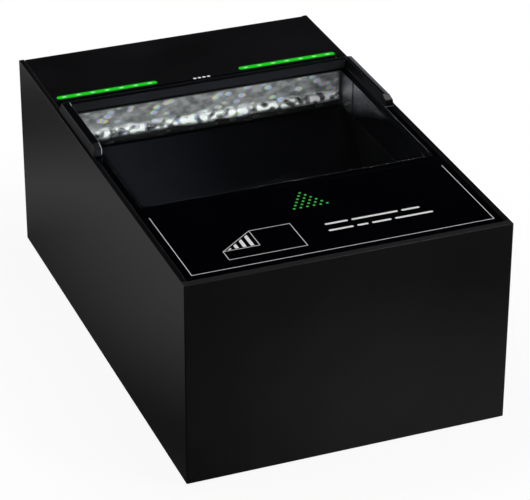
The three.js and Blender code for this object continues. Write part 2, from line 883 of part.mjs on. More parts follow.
// The mirror's face falls forward from the foot of the light box's rear wall.
function mirrorHeight(y) {
  return lightBoxBottom - (mirrorRear - y) * Math.tan(mirrorSlope);
}

// A sloping slab parallel to the mirror, between two depths below the mirror's face.
function slopingSlab(y0, y1, upper, lower) {
  const down = 1 / Math.cos(mirrorSlope);
  return polygon([
    [y0, mirrorHeight(y0) - lower * down],
    [y1, mirrorHeight(y1) - lower * down],
    [y1, mirrorHeight(y1) - upper * down],
    [y0, mirrorHeight(y0) - upper * down],
  ]);
}

function mirror() {
  const slab = slopingSlab(mirrorFront, mirrorRear, 0, mirrorThickness);
  add("mirror", acrossX(slab, -mirrorHalf, mirrorHalf), "mirror");
}

// Side plates that stand on the base plate, carry the light box on top and the mirror on a sloping rail.
function opticsBrackets() {
  const y0 = lightBoxFront - lightBoxWall;
  const y1 = lightBoxRear + lightBoxWall;
  const plate = polygon([
    [y0, floor],
    [boardFront - bracketToBoard, floor],
    [y1 - bracketShoulder, (floor + lightBoxBottom) / 2],
    [y1, lightBoxBottom - bracketRearDepth],
    [y1, lightBoxBottom],
    [y0, lightBoxBottom],
  ]);
  const railTop = mirrorThickness + seatGap;
  const railBottom = railTop + mirrorRailThickness;
  const railDrop = railBottom / Math.cos(mirrorSlope);
  const railFoot = mirrorRear - (lightBoxBottom - railDrop - floor) / Math.tan(mirrorSlope);
  const rail = slopingSlab(railFoot, mirrorRear - mirrorRailSetBack, railTop, railBottom);
  for (const [sideName, side] of sides) {
    const outer = side * (lightBoxHalf + lightBoxWall);
    const inner = side * lightBoxHalf;
    const railEnd = side * (lightBoxHalf - mirrorSideGap - mirrorRail);
    const flangeEnd = side * (lightBoxHalf - bracketFlange);
    const spans = (a, b) => [Math.min(a, b), Math.max(a, b)];
    const web = acrossX(plate, ...spans(outer, inner));
    const shelf = acrossX(rail, ...spans(side * (lightBoxHalf + lap), railEnd));
    const flangeFront = y0 + bracketFlangeSetBack;
    const flangeRear = boardFront - bracketToBoard - bracketFlangeSetBack;
    const flangeSpan = spans(side * (lightBoxHalf + lap), flangeEnd);
    const flange = box(...flangeSpan, flangeFront, flangeRear, floor, floor + bracketFlangeThickness);
    add(`optics_bracket_${sideName}`, join(web, shelf, flange), "blackSteel");
  }
}

// The camera looks at the mirror along the middle ray of the window, folded by the mirror.
const windowCentre = (glassFront + glassRear) / 2;
const rayTilt = Math.PI / 2 - 2 * mirrorSlope;
const cameraY = front + cameraFromFront;
const cameraZ = mirrorHeight(windowCentre) + (windowCentre - cameraY) * Math.tan(rayTilt);

// The Y and Z of a point given along the camera's axis and across it.
function inCamera(along, across) {
  return [
    cameraY + along * Math.cos(rayTilt) + across * Math.sin(rayTilt),
    cameraZ - along * Math.sin(rayTilt) + across * Math.cos(rayTilt),
  ];
}

const domeSteps = 4;

// Everything in this group lies along +Y, which the group turns down the folded ray.
function camera() {
  const head = new THREE.Group();
  head.position.set(0, cameraY, cameraZ);
  head.rotation.x = -rayTilt;
  reader.add(head);
  const half = cameraBoardSize / 2;
  const boardBack = -boardThickness;
  add("camera_board", box(-half, half, boardBack, 0, -half, half), "board", head);
  const mount = lensMountSize / 2;
  const mountEnd = seatGap + lensMountDepth;
  const socket = join(
    box(-mount, mount, seatGap, mountEnd, -mount, mount),
    bar(0, 0, lensRadius + lensSleeve, mountEnd - lap, mountEnd + lensSleeveLength, 24),
  );
  const barrelStart = seatGap + lensMountFloor + seatGap;
  const boreEnd = mountEnd + lensSleeveLength + beyond;
  const bore = bar(0, 0, lensRadius + seatGap, seatGap + lensMountFloor, boreEnd, 24);
  add("lens_mount", cut(socket, bore), "plastic", head);
  const barrel = turned(
    [
      [0, 0],
      [lensRadius, 0],
      [lensRadius, lensLength - lensHead],
      [lensRadius + lensSleeve, lensLength - lensHead],
      [lensRadius + lensSleeve, lensLength],
      [lensRadius - lensRim, lensLength],
      [lensRadius - lensRim - lensCone, lensLength - lensRecess],
      [0, lensLength - lensRecess],
    ],
    24,
  ).rotateX(-Math.PI / 2);
  add("lens_barrel", barrel.translate(0, barrelStart, 0), "blackSteel", head);
  const domeRadius = lensRadius - lensRim - lensCone - lensGlassGap;
  const profile = [[0, 0]];
  for (let i = 0; i <= domeSteps; i++) {
    const angle = (i / domeSteps) * (Math.PI / 2);
    profile.push([i < domeSteps ? domeRadius * Math.cos(angle) : 0, lensGlassHeight * Math.sin(angle)]);
  }
  const dome = turned(profile, 24).rotateX(-Math.PI / 2);
  add("lens", dome.translate(0, barrelStart + lensLength - lensRecess + seatGap, 0), "glass", head);
}

// A bent sheet: a foot on the base plate, an upright, and a head that leans with the camera.
function cameraBracket() {
  const half = cameraBoardSize / 2;
  const behindBoard = -boardThickness - seatGap;
  const knee = inCamera(behindBoard, -half - cameraBracketKnee);
  const path = [
    [knee[0] - cameraBracketFoot, floor],
    [knee[0], floor],
    knee,
    inCamera(behindBoard, half),
  ];
  const w = cameraBracketWidth / 2;
  add("camera_bracket", acrossX(strip(path, cameraBracketSheet), -w, w), "steel");
}

function mainBoard() {
  const half = boardWidth / 2;
  const plate = box(-half, half, boardFront, boardRear, boardBottom, boardTop);
  const holes = boardHoles().map(([x, y]) =>
    post(x, y, screwRadius + screwHoleGap, boardBottom - beyond, boardTop + beyond),
  );
  const plug = boardFront + connectorSetBack;
  const connectorTop = boardTop + connectorHeight;
  const connector = box(
    -connectorWidth / 2,
    connectorWidth / 2,
    plug,
    plug + connectorLength,
    boardTop - solderDepth,
    connectorTop,
  );
  add("main_board", join(cut(plate, ...holes), connector), "board");
}

// A square-bodied socket with a keyed mouth and a tongue inside it.
function usbSocket() {
  const y1 = rearPanelOuter - socketSetBack;
  const y0 = y1 - usbLength;
  const left = usbCentre - usbMouthWidth / 2;
  const right = usbCentre + usbMouthWidth / 2;
  const z0 = boardTop + usbMouthUp;
  const z1 = z0 + usbMouthHeight;
  const body = box(usbCentre - usbWidth / 2, usbCentre + usbWidth / 2, y0, y1, boardTop, boardTop + usbHeight);
  const mouth = polygon([
    [left, z0],
    [right, z0],
    [right, z1 - usbMouthKey],
    [right - usbMouthKey, z1],
    [left + usbMouthKey, z1],
    [left, z1 - usbMouthKey],
  ]);
  const mouthEnd = y1 - usbMouthDepth;
  const tongue = box(
    usbCentre - usbTongueWidth / 2,
    usbCentre + usbTongueWidth / 2,
    mouthEnd - lap,
    y1 - contactSetBack,
    z0 + usbTongueUp,
    z0 + usbTongueUp + usbTongueHeight,
  );
  add("usb_socket", join(cut(body, alongY(mouth, mouthEnd, y1 + beyond)), tongue), "steel");
}

// A barrel socket with its centre pin.
function powerSocket() {
  const y1 = rearPanelOuter - socketSetBack;
  const y0 = y1 - powerLength;
  const half = powerWidth / 2;
  const z = boardTop + powerHeight / 2;
  const body = box(powerCentre - half, powerCentre + half, y0, y1, boardTop, boardTop + powerHeight);
  const boreEnd = y1 - powerBoreDepth;
  const bored = cut(body, bar(powerCentre, z, powerBoreRadius, boreEnd, y1 + beyond, 20));
  const pin = bar(powerCentre, z, powerPinRadius, boreEnd - lap, y1 - contactSetBack, 10);
  add("power_socket", join(bored, pin), "plastic");
}

// Processor with a finned heat sink, the radio reader's shield and the sounder, all on the main board.
function boardComponents() {
  const half = heatSinkSize / 2;
  const chipX = heatSinkFromEdge + half - boardWidth / 2;
  const chipY = boardFront + chipFromFront;
  const base = boardTop + chipHeight;
  const chip = new THREE.BoxGeometry(chipSize, chipSize, chipHeight);
  add("processor", chip.translate(chipX, chipY, boardTop + chipHeight / 2), "plastic");
  const fins = [];
  for (let i = 0; i < heatSinkFins; i++) {
    const x = chipX + (i / (heatSinkFins - 1) - 0.5) * (heatSinkSize - heatSinkFin);
    const fin = new THREE.BoxGeometry(heatSinkFin, heatSinkSize, heatSinkHeight - lap);
    fins.push(fin.translate(x, chipY, base + (heatSinkHeight + lap) / 2));
  }
  const slab = box(chipX - half, chipX + half, chipY - half, chipY + half, base, base + heatSinkBase);
  add("heat_sink", join(slab, ...fins), "aluminium");

  const shieldRight = boardWidth / 2 - radioFromEdge;
  const shield = rectangle(
    shieldRight - radioWidth,
    shieldRight,
    chipY - radioLength / 2,
    chipY + radioLength / 2,
    radioCornerRadius,
  );
  add("radio_shield", upright(shield, boardTop, boardTop + radioHeight), "steel");
  const sounder = turned([
    [0, 0],
    [buzzerRadius, 0],
    [buzzerRadius, buzzerHeight],
    [buzzerHoleRadius, buzzerHeight],
    [buzzerHoleRadius, buzzerHeight - buzzerHoleDepth],
    [0, buzzerHeight - buzzerHoleDepth],
  ]);
  add("buzzer", sounder, "plastic").position.set(0, boardRear - buzzerFromRear, boardTop);
}

// A flat ribbon from the foot of the camera board, down and along the floor to the main board's connector.
function cameraRibbon() {
  const [startY, startZ] = inCamera(ribbonClearance, ribbonSeat - cameraBoardSize / 2);
  const bendY = startY + ribbonBend;
  const endY = boardFront - ribbonBend;
  const low = floor + ribbonClearance;
  const plugZ = boardTop + connectorHeight / 2;
  const path = [
    [startY, startZ],
    [bendY, startZ],
    [bendY, low],
    [endY, low],
    [endY, plugZ],
    [boardFront + connectorSetBack - ribbonClearance, plugZ],
  ];
  add("camera_ribbon", acrossX(strip(path, ribbonThickness), -ribbonWidth / 2, ribbonWidth / 2), "ribbon");
}

housing();
basePlate();
baseScrews();
feet();
rearPanel();
rearScrews();
rearDeck();
lightStrips();
indicatorBoard();
frontPanel();
pointerLightGuide();
pointerBoard();
windowBezel();
glassPane();
antennaAndGasket();
documentGuide();
lightBox();
lampBoard();
mirror();
opticsBrackets();
camera();
cameraBracket();
mainBoard();
boardScrews();
usbSocket();
powerSocket();
boardComponents();
cameraRibbon();

export default reader;
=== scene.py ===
# %% [markdown]
# # A passport reader, dressed for a studio picture
#
# The construction model of the reader is loaded as a fixed frame. This lesson gives every piece of it a
# finish, and adds what a construction model leaves out: softened edges, crinkled foil, printed lines and
# glowing lamps. Lengths are metres, +Z is up, and the front of the reader faces -Y.

# %% Load the frame
import math

import bmesh
import bpy
from mathutils import Matrix, Vector, noise


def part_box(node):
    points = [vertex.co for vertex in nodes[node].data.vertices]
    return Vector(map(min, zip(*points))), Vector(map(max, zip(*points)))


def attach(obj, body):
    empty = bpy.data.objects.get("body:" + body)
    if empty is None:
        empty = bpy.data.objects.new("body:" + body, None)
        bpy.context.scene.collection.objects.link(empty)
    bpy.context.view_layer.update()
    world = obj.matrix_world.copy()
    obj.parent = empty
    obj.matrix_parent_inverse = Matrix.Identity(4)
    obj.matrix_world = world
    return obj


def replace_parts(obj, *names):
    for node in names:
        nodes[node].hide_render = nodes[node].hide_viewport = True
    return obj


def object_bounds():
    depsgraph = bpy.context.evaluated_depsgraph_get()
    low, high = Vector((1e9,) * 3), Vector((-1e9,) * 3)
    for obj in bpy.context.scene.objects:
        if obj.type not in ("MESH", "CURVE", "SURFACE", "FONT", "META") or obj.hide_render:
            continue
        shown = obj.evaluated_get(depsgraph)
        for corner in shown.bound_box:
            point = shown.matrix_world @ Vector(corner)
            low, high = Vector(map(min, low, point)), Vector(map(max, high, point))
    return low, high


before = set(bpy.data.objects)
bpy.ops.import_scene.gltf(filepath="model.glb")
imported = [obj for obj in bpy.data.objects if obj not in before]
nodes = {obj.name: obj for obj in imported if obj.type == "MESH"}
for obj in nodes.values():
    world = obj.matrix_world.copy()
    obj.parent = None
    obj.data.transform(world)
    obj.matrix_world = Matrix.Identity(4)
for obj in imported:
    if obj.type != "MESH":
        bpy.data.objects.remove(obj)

cad_box = [list(corner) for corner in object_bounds()]
mm = 0.001
print("nodes in the frame:", len(nodes))

# %% [markdown]
# ## The camera
#
# The picture was taken from the front left, about thirty degrees above the table, through a long lens, so
# the sides of the box stay nearly parallel. The camera stands at a measured place and looks along an
# azimuth and an elevation, with a trace of roll.

# %% Place the camera
camera_place = Vector((-0.3599, -0.9306, 0.5933))
camera_azimuth = math.radians(21.49)
camera_elevation = math.radians(29.07)
camera_roll = math.radians(0.20)
lens_mm = 175.63
sensor_mm = 36

forward = Vector((
    math.sin(camera_azimuth) * math.cos(camera_elevation),
    math.cos(camera_azimuth) * math.cos(camera_elevation),
    -math.sin(camera_elevation),
))
facing = forward.to_track_quat("-Z", "Y").to_matrix().to_4x4()
camera_data = bpy.data.cameras.new("camera")
camera_data.lens = lens_mm
camera_data.sensor_width = sensor_mm
camera_data.sensor_fit = "HORIZONTAL"
camera_data.clip_end = 20
camera = bpy.data.objects.new("camera", camera_data)
camera.matrix_world = Matrix.Translation(camera_place) @ facing @ Matrix.Rotation(camera_roll, 4, "Z")
bpy.context.collection.objects.link(camera)
bpy.context.scene.camera = camera
bpy.context.scene.view_settings.view_transform = "Standard"
print("camera stands", round(camera_place.length, 3), "m from the foot of the reader")

# %% [markdown]
# ## Writing shader maths as Python
#
# A pattern is easier to read as an expression than as a list of nodes. `Signal` wraps one number that a node
# puts out, and its operators add Math nodes. `Graph` holds one tree of nodes, and its `node` method makes
# any other node: first its settings, then the values or links of its sockets. `Finish` is the graph of one
# material, with the patterns that most finishes need.

# %% Signal
class Signal:
    """A number that varies over a surface. Sums, products and comparisons of it add Math nodes."""

    def __init__(self, graph, socket):
        self.graph = graph
        self.socket = socket

    def math(self, operation, other=0.0):
        return self.graph.number("ShaderNodeMath", {"operation": operation}, {0: self, 1: other})

    def __add__(self, other):
        return self.math("ADD", other)

    def __sub__(self, other):
        return self.math("SUBTRACT", other)

    def __mul__(self, other):
        return self.math("MULTIPLY", other)

    def __truediv__(self, other):
        return self.math("DIVIDE", other)

    def __pow__(self, other):
        return self.math("POWER", other)

    def __rsub__(self, other):
        return (self * -1) + other

    def __abs__(self):
        return self.math("ABSOLUTE")

    __radd__ = __add__
    __rmul__ = __mul__

    def fraction(self):
        """What is left of it without its whole number."""
        return self.math("FRACT")

    def least(self, other):
        return self.math("MINIMUM", other)

    def most(self, other):
        return self.math("MAXIMUM", other)

    def step(self, low, high, first, last):
        """Goes smoothly from `first` at `low` to `last` at `high`."""
        settings = {"interpolation_type": "SMOOTHSTEP"}
        inputs = {"Value": self, "From Min": low, "From Max": high, "To Min": first, "To Max": last}
        return self.graph.number("ShaderNodeMapRange", settings, inputs)

    def between(self, low, high):
        """Rises smoothly from nothing at `low` to one at `high`."""
        return self.step(low, high, 0.0, 1.0)

    def until(self, low, high):
        """Falls smoothly from one at `low` to nothing at `high`."""
        return self.step(low, high, 1.0, 0.0)

    def inside(self, low, high, soft):
        """One between `low` and `high` and nothing outside, with edges `soft` wide."""
        return self.between(low, low + soft) * self.until(high - soft, high)


print("Signal turns + - * / ** and abs into nodes")


# %% Graph and Finish
class Graph:
    """A tree of shader nodes under construction."""

    def __init__(self, tree):
        self.tree = tree
        self.tree.nodes.clear()

    def node(self, kind, settings=None, inputs=None):
        """Adds a node of any kind: its settings come first, then the values or links of its sockets."""
        made = self.tree.nodes.new(kind)
        for key, value in (settings or {}).items():
            if key == "stops":
                self.set_stops(made.color_ramp, value)
            else:
                setattr(made, key, value)
        for key, value in (inputs or {}).items():
            self.feed(made.inputs[key], value)
        return made

    def set_stops(self, ramp, stops):
        while len(ramp.elements) < len(stops):
            ramp.elements.new(0.5)
        for element, (place, colour) in zip(ramp.elements, stops):
            element.position = place
            element.color = (*colour, 1.0)

    def feed(self, socket, value):
        if isinstance(value, Signal):
            value = value.socket
        if isinstance(value, bpy.types.NodeSocket):
            self.tree.links.new(value, socket)
        else:
            socket.default_value = value

    def number(self, kind, settings=None, inputs=None):
        """Adds a node, and gives the number that it puts out."""
        return Signal(self, self.node(kind, settings, inputs).outputs[0])

    def ray(self, kind):
        """One for rays of this kind, such as `Is Camera Ray`, and nothing for others."""
        return Signal(self, self.node("ShaderNodeLightPath").outputs[kind])


class Finish(Graph):
    """One material, with a Principled shader ready to be fed."""

    def __init__(self, name, **constants):
        self.material = bpy.data.materials.new(name)
        self.material.use_nodes = True
        super().__init__(self.material.node_tree)
        self.output = self.node("ShaderNodeOutputMaterial")
        self.shader = self.node("ShaderNodeBsdfPrincipled")
        self.feed(self.output.inputs["Surface"], self.shader.outputs[0])
        for socket, value in constants.items():
            self.set(socket.replace("_", " "), value)

    def set(self, socket, value):
        self.feed(self.shader.inputs[socket], value)

    def overlay(self, factor, other):
        """Shows `other`, another shader, in place of the Principled one as far as `factor` says."""
        shaders = {1: self.shader.outputs[0], 2: other.outputs[0]}
        mixed = self.node("ShaderNodeMixShader", None, {0: factor, **shaders})
        self.feed(self.output.inputs["Surface"], mixed.outputs[0])

    def place(self, scale=(1, 1, 1)):
        """The point on the object, in metres, stretched by `scale`."""
        where = self.node("ShaderNodeTexCoord").outputs["Object"]
        return self.node("ShaderNodeVectorMath", {"operation": "MULTIPLY"}, {0: where, 1: scale}).outputs[0]

    def axis(self, letter):
        split = self.node("ShaderNodeSeparateXYZ", None, {0: self.place()})
        return Signal(self, split.outputs[letter])

    def noise(self, size, detail=2.0, roughness=0.5, scale=(1, 1, 1)):
        """Soft noise between 0 and 1, whose lumps are about `size` metres across."""
        inputs = {"Vector": self.place(scale), "Scale": 1 / size, "Detail": detail, "Roughness": roughness}
        return self.number("ShaderNodeTexNoise", None, inputs)

    def cells(self, size, feature="F1", randomness=1.0, scale=(1, 1, 1)):
        """Distance to the nearest of scattered points, `size` metres apart."""
        inputs = {"Vector": self.place(scale), "Scale": 1 / size, "Randomness": randomness}
        return self.number("ShaderNodeTexVoronoi", {"feature": feature}, inputs)

    def mix_colour(self, factor, first, second):
        """Goes from one colour to another. Each is three numbers, or a socket that carries a colour.

        A Mix node has sockets for numbers and vectors too. Its colours go in at 6 and 7, and out at 2.
        """
        a, b = (c if isinstance(c, bpy.types.NodeSocket) else (*c, 1.0) for c in (first, second))
        return self.node("ShaderNodeMix", {"data_type": "RGBA"}, {0: factor, 6: a, 7: b}).outputs[2]

    def bump(self, height, distance):
        inputs = {"Height": height, "Distance": distance}
        self.set("Normal", self.node("ShaderNodeBump", None, inputs).outputs[0])


print("patterns that a finish can draw: place, axis, noise, cells")

# %% [markdown]
# ## The stage
#
# The reader stands on white paper with no visible horizon. The floor shows white to the camera, except close
# to the reader, where it keeps a part of its own shade: that is the soft shadow round the base. A black box
# is seen mostly by what it reflects, so reflections get a graded floor: dark near the reader, with a pool of
# light beside the left wall and one before the front, and white further out.

# %% Floor
floor_half = 4.0
floor_mesh = bpy.data.meshes.new("floor")
corners = [(-1, -1), (1, -1), (1, 1), (-1, 1)]
floor_mesh.from_pydata([(x * floor_half, y * floor_half, 0) for x, y in corners], [], [(0, 1, 2, 3)])
floor = bpy.data.objects.new("floor", floor_mesh)
bpy.context.collection.objects.link(floor)
print("floor", 2 * floor_half, "m wide")

# %% Paper
reader_half_x, reader_half_y = cad_box[1][0], cad_box[1][1]
paper = Finish("studio_paper", Base_Color=(0.62, 0.62, 0.62, 1), Roughness=0.9, Specular_IOR_Level=0.0)
floor_x, floor_y = paper.axis("X"), paper.axis("Y")


def distance(aside, along):
    return (aside * aside + along * along) ** 0.5


def pool(x, y, inner, outer):
    """A pool of light on the floor: one within `inner` metres of its middle, and nothing beyond `outer`."""
    return distance(floor_x - x, floor_y - y).until(inner, outer)


away = distance((abs(floor_x) - reader_half_x).most(0.0), (abs(floor_y) - reader_half_y).most(0.0))
left_pool = pool(-0.125, 0.075, 0.04, 0.22) * (away.least(0.06) * 2.4 + 0.065)
front_pool = pool(0.055, -0.13, 0.02, 0.16) * 0.34
mirrored_white = (left_pool + front_pool + away.between(0.10, 0.50)).least(1.0)

shadow_share = 0.08
shadow_reach = 0.12
seen_white = 1 - away.until(0.0, shadow_reach) * shadow_share
seen = paper.ray("Is Camera Ray")
mirrored = paper.ray("Is Glossy Ray") + paper.ray("Is Transmission Ray")
glow_colour = paper.mix_colour(seen.most(mirrored_white), (0, 0, 0), (1, 1, 1))
glow = paper.node("ShaderNodeEmission", None, {"Color": glow_colour, "Strength": 1.0})
paper.overlay((seen * seen_white + mirrored).least(1.0), glow)
floor_mesh.materials.append(paper.material)
print("paper with", len(paper.tree.nodes), "nodes, and a shadow", shadow_reach, "m wide")

# %% [markdown]
# ## The room
#
# The room has three looks. To the camera it is white. In reflections it is a pale band round the horizon
# under a dark ceiling, as behind a product table, and that keeps the top of the reader black. For diffuse
# light it is an even grey, which fills the shadows.

# %% World
band_top = 18.5
ceiling_start = 22
band_colour = (0.86, 0.87, 1.0, 1.0)
band_level = 0.9
dark_ceiling = 0.005
ambient_level = 0.30

world = bpy.data.worlds.new("studio")
bpy.context.scene.world = world
world.use_nodes = True
air = Graph(world.node_tree)
towards = air.node("ShaderNodeTexCoord").outputs["Generated"]
band_strength = air.number("ShaderNodeMapRange", None, {
    "Value": air.node("ShaderNodeSeparateXYZ", None, {0: towards}).outputs["Z"],
    "From Min": math.sin(math.radians(band_top)),
    "From Max": math.sin(math.radians(ceiling_start)),
    "To Min": band_level,
    "To Max": dark_ceiling,
})
ambient = air.node("ShaderNodeBackground", None, {"Strength": ambient_level}).outputs[0]
pale_band = {"Color": band_colour, "Strength": band_strength}
reflected = air.node("ShaderNodeBackground", None, pale_band).outputs[0]
white = air.node("ShaderNodeBackground", None, {"Strength": 1.0}).outputs[0]
in_gloss = air.ray("Is Glossy Ray") + air.ray("Is Transmission Ray")
unseen = air.node("ShaderNodeMixShader", None, {0: in_gloss, 1: ambient, 2: reflected}).outputs[0]
sky = air.node("ShaderNodeMixShader", None, {0: air.ray("Is Camera Ray"), 1: unseen, 2: white}).outputs[0]
air.node("ShaderNodeOutputWorld", None, {"Surface": sky})
print("pale band up to", band_top, "degrees, dark ceiling from", ceiling_start)

# %% [markdown]
# ## The lamps
#
# A soft lamp at the front right lights the front wall and the printing. A larger, weaker one hangs high at
# the rear left, where the window doesn't mirror it into the camera, and a small one close above the window
# puts a little light on the guide and the deck.

# %% Lamps
def soft_lamp(name, place, aim, size, watts):
    """A square soft lamp, `size` metres wide, turned to the point `aim`."""
    data = bpy.data.lights.new(name, "AREA")
    data.shape = "RECTANGLE"
    data.size = data.size_y = size
    data.energy = watts
    lamp = bpy.data.objects.new(name, data)
    lamp.location = place
    lamp.rotation_euler = (Vector(aim) - Vector(place)).to_track_quat("-Z", "Y").to_euler()
    bpy.context.collection.objects.link(lamp)


soft_lamp("right_softbox", place=(1.15, -1.15, 0.95), aim=(0, 0, 0.08), size=0.7, watts=26)
soft_lamp("high_softbox", place=(-0.9, 0.8, 1.9), aim=(0, 0, 0.05), size=1.0, watts=14)
soft_lamp("small_softbox", place=(0.23, 0.16, 0.545), aim=(0.067, 0.0, 0.098), size=0.12, watts=0.27)
print("lamps:", [lamp.name for lamp in bpy.data.lights])

# %% [markdown]
# ## Black plastics
#
# Almost all of the reader is black, and its pieces differ only in how they take the light. The casing is
# moulded against a finely eroded tool, so it has a grain of about half a millimetre, and its front rim is
# painted a little greyer, as a painted highlight along that edge. The rear deck is smoother and darker. One
# flat colour would look like fresh paint, so the tone and the dullness drift slowly over each piece, and the
# grain is a very shallow bump.

# %% Moulded plastics
drift_size = 35 * mm


def moulded(name, colour, roughness, grain, depth, specular=0.5, lighter=1.35):
    """A moulded plastic. Its tone and dullness drift slowly, and its grain is a bump `depth` metres deep."""
    finish = Finish(name, Specular_IOR_Level=specular)
    lumps = finish.noise(grain, 3.0)
    drift = finish.noise(drift_size, 3.0, 0.55)
    pale = tuple(c * lighter for c in colour)
    finish.set("Base Color", finish.mix_colour(drift.between(0.3, 0.7), colour, pale))
    finish.set("Roughness", (drift - 0.5) * 0.06 + (lumps - 0.5) * 0.08 + roughness)
    finish.bump(lumps, depth)
    return finish.material


deck_satin = moulded("deck_satin", (0.0030, 0.0029, 0.0032), 0.12, 0.4 * mm, 0.004 * mm, specular=0.12)
inner_plastic = moulded("inner_plastic", (0.012, 0.012, 0.012), 0.6, 0.6 * mm, 0.03 * mm)
print("moulded:", deck_satin.name, inner_plastic.name)

# %% Casing
casing_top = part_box("housing")[1][2]
panel_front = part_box("front_panel")[0][1]
casing = Finish("casing_satin", Specular_IOR_Level=0.28)
eroded = casing.noise(0.5 * mm, 3.0)
casing_drift = casing.noise(drift_size, 3.0, 0.55)
rim = casing.axis("Z").between(casing_top - 0.2 * mm, casing_top - 0.05 * mm)
# The front rim is painted greyer: a painted highlight along the top front edge.
front_rim_highlight = rim * casing.axis("Y").until(panel_front - 0.25 * mm, panel_front + 0.05 * mm)
clouded = casing_drift.between(0.3, 0.7)
plain_black = casing.mix_colour(clouded, (0.0036, 0.0036, 0.0038), (0.0049, 0.0049, 0.0051))
casing.set("Base Color", casing.mix_colour(front_rim_highlight, plain_black, (0.016, 0.016, 0.017)))
casing.set("Roughness", (casing_drift - 0.5) * 0.06 + (eroded - 0.5) * 0.08 + 0.18 - rim * 0.08)
casing.bump(eroded, 0.008 * mm)
casing_satin = casing.material
print("casing rim from", round(casing_top / mm - 0.2, 2), "mm up")

# %% [markdown]
# ## The window's frame and the guide
#
# The frame is nearly black, with a fine pale line on its right inner edge, which is a painted highlight.
# The guide is a dense satin, duller on the arms' inner flanks, where documents slide against it. Its noses
# and the bar's front are painted paler: painted light where light falls on them. Pale painted highlights lie
# on the left arm's inner edge, at the nose and beside the bar, and a little at the foot of the right nose.
# Each painted place is a mask that is worked out from the sizes of the pieces, so it stays right on its
# edge, and no picture has to be painted for it.

# %% Frame round the window
window_low, window_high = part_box("glass_pane")
surround = Finish("bezel_satin", Specular_IOR_Level=0.08)
at_edge = surround.axis("X").inside(window_high[0] - 0.1 * mm, window_high[0] + 0.4 * mm, 0.1 * mm)
beside_glass = surround.axis("Y").between(window_low[1] + 1 * mm, window_low[1] + 8 * mm)
# A painted highlight: a pale line on the frame's right inner edge, beside the glass.
edge_highlight = at_edge * beside_glass
surround_grain = surround.noise(0.6 * mm, 3.0)
surround.set("Base Color", surround.mix_colour(edge_highlight, (0.0006, 0.0007, 0.0011), (0.042, 0.041, 0.046)))
surround.set("Roughness", surround_grain * 0.06 + 0.02)
surround.bump(surround_grain, 0.001 * mm)
bezel_satin = surround.material
print("pale line at", round(window_high[0] / mm, 2), "mm from the middle")

# %% Where the guide is painted lighter, and its flanks
guide_low, guide_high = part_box("document_guide")
guide_front, guide_side, guide_crest = guide_low[1], guide_high[0], guide_high[2]
bar_front = window_high[1] - 3.3 * mm
arm_inner = 65.6 * mm

guide_plastic = Finish("guide_satin", Specular_IOR_Level=0.11)
guide_x, guide_y, guide_z = (guide_plastic.axis(letter) for letter in "XYZ")
outwards = abs(guide_x)
on_left = guide_x.until(-1 * mm, 1 * mm)
on_slope = guide_z.between(guide_crest - 1.6 * mm, guide_crest - 1.4 * mm)
on_nose = guide_y.until(guide_front + 3.8 * mm, guide_front + 4.1 * mm) * on_left.most(on_slope)
before_bar = guide_y.until(bar_front + 0.1 * mm, bar_front + 0.3 * mm)
between_arms = outwards.until(arm_inner - 1.0 * mm, arm_inner - 0.6 * mm)
under_crest = guide_z.until(guide_crest - 0.4 * mm, guide_crest - 0.2 * mm)
# Painted light: the noses and the bar's front are painted paler, where light falls on them.
painted_lit_faces = on_nose.most(before_bar * between_arms * under_crest)
inner_flank = outwards.inside(arm_inner - 0.4 * mm, arm_inner + 0.4 * mm, 0.2 * mm)
outer_flank = outwards.between(guide_side - 0.75 * mm, guide_side - 0.65 * mm)
print("guide's bar starts at", round(bar_front / mm, 2), "mm")

# %% Painted highlights on the guide
# Painted highlights: pale glints along the left arm's inner edge, at the nose and beside the bar, and a faint
# pale line at the foot of the right nose.
arm_edge = outwards.inside(arm_inner + 0.03 * mm, arm_inner + 0.40 * mm, 0.05 * mm)
beside_bar = guide_y.between(bar_front - 3.5 * mm, bar_front - 2.5 * mm) * before_bar
over_frame = guide_z.between(casing_top + 0.6 * mm, casing_top + 1.2 * mm)
painted_glints = arm_edge * on_left * on_nose.most(beside_bar) * over_frame
low_down = guide_z.until(casing_top + 0.30 * mm, casing_top + 0.45 * mm)
in_front = guide_y.until(guide_front + 0.1 * mm, guide_front + 0.3 * mm)
right_foot_highlight = low_down * in_front * (1 - on_left) * 0.3

speckle = guide_plastic.noise(0.6 * mm, 3.0)
painted_light_colour = guide_plastic.mix_colour(painted_lit_faces, (0.0026, 0.0027, 0.0032), (0.012, 0.0122, 0.0142))
glint_colour = (0.34, 0.36, 0.38)
guide_plastic.set("Base Color", guide_plastic.mix_colour(painted_glints.most(right_foot_highlight), painted_light_colour, glint_colour))
guide_plastic.set("Roughness", speckle * 0.08 + 0.05 + inner_flank * 0.3 + outer_flank * 0.35)
guide_plastic.bump(speckle, 0.002 * mm)
guide_satin = guide_plastic.material
print("guide finish with", len(guide_plastic.tree.nodes), "nodes")

# %% [markdown]
# ## The polished panel
#
# The front panel is polished plastic, and shows mostly what it mirrors. A perfect mirror would look too
# clean, so a faint haze and specks of dust make it duller here and there, and long shallow waves bend the
# reflection a little, as on any moulded cover.

# %% Polished panel
polished = Finish("polished_black", Base_Color=(0.0002, 0.0002, 0.0007, 1), Specular_IOR_Level=0.25)
dust = polished.cells(3.5 * mm).until(0.02, 0.06)
haze = polished.noise(30 * mm, 4.0)
polished.set("Roughness", haze * 0.08 + dust * 0.3 + 0.05)
polished.bump(polished.noise(20 * mm, 1.0), 0.03 * mm)
polished_black = polished.material
print("made", polished_black.name)

# %% [markdown]
# ## Glass and mirror
#
# The window is 3 mm glass that really bends the view: it is what lets the foil wall start right under the
# guide's bar. Glass stops the rays that Blender sends to its lamps, so for those rays the pane is a plain
# tinted hole. The sloping mirror under it is dark, because it throws back only a small part of the light,
# and darker still towards the right.

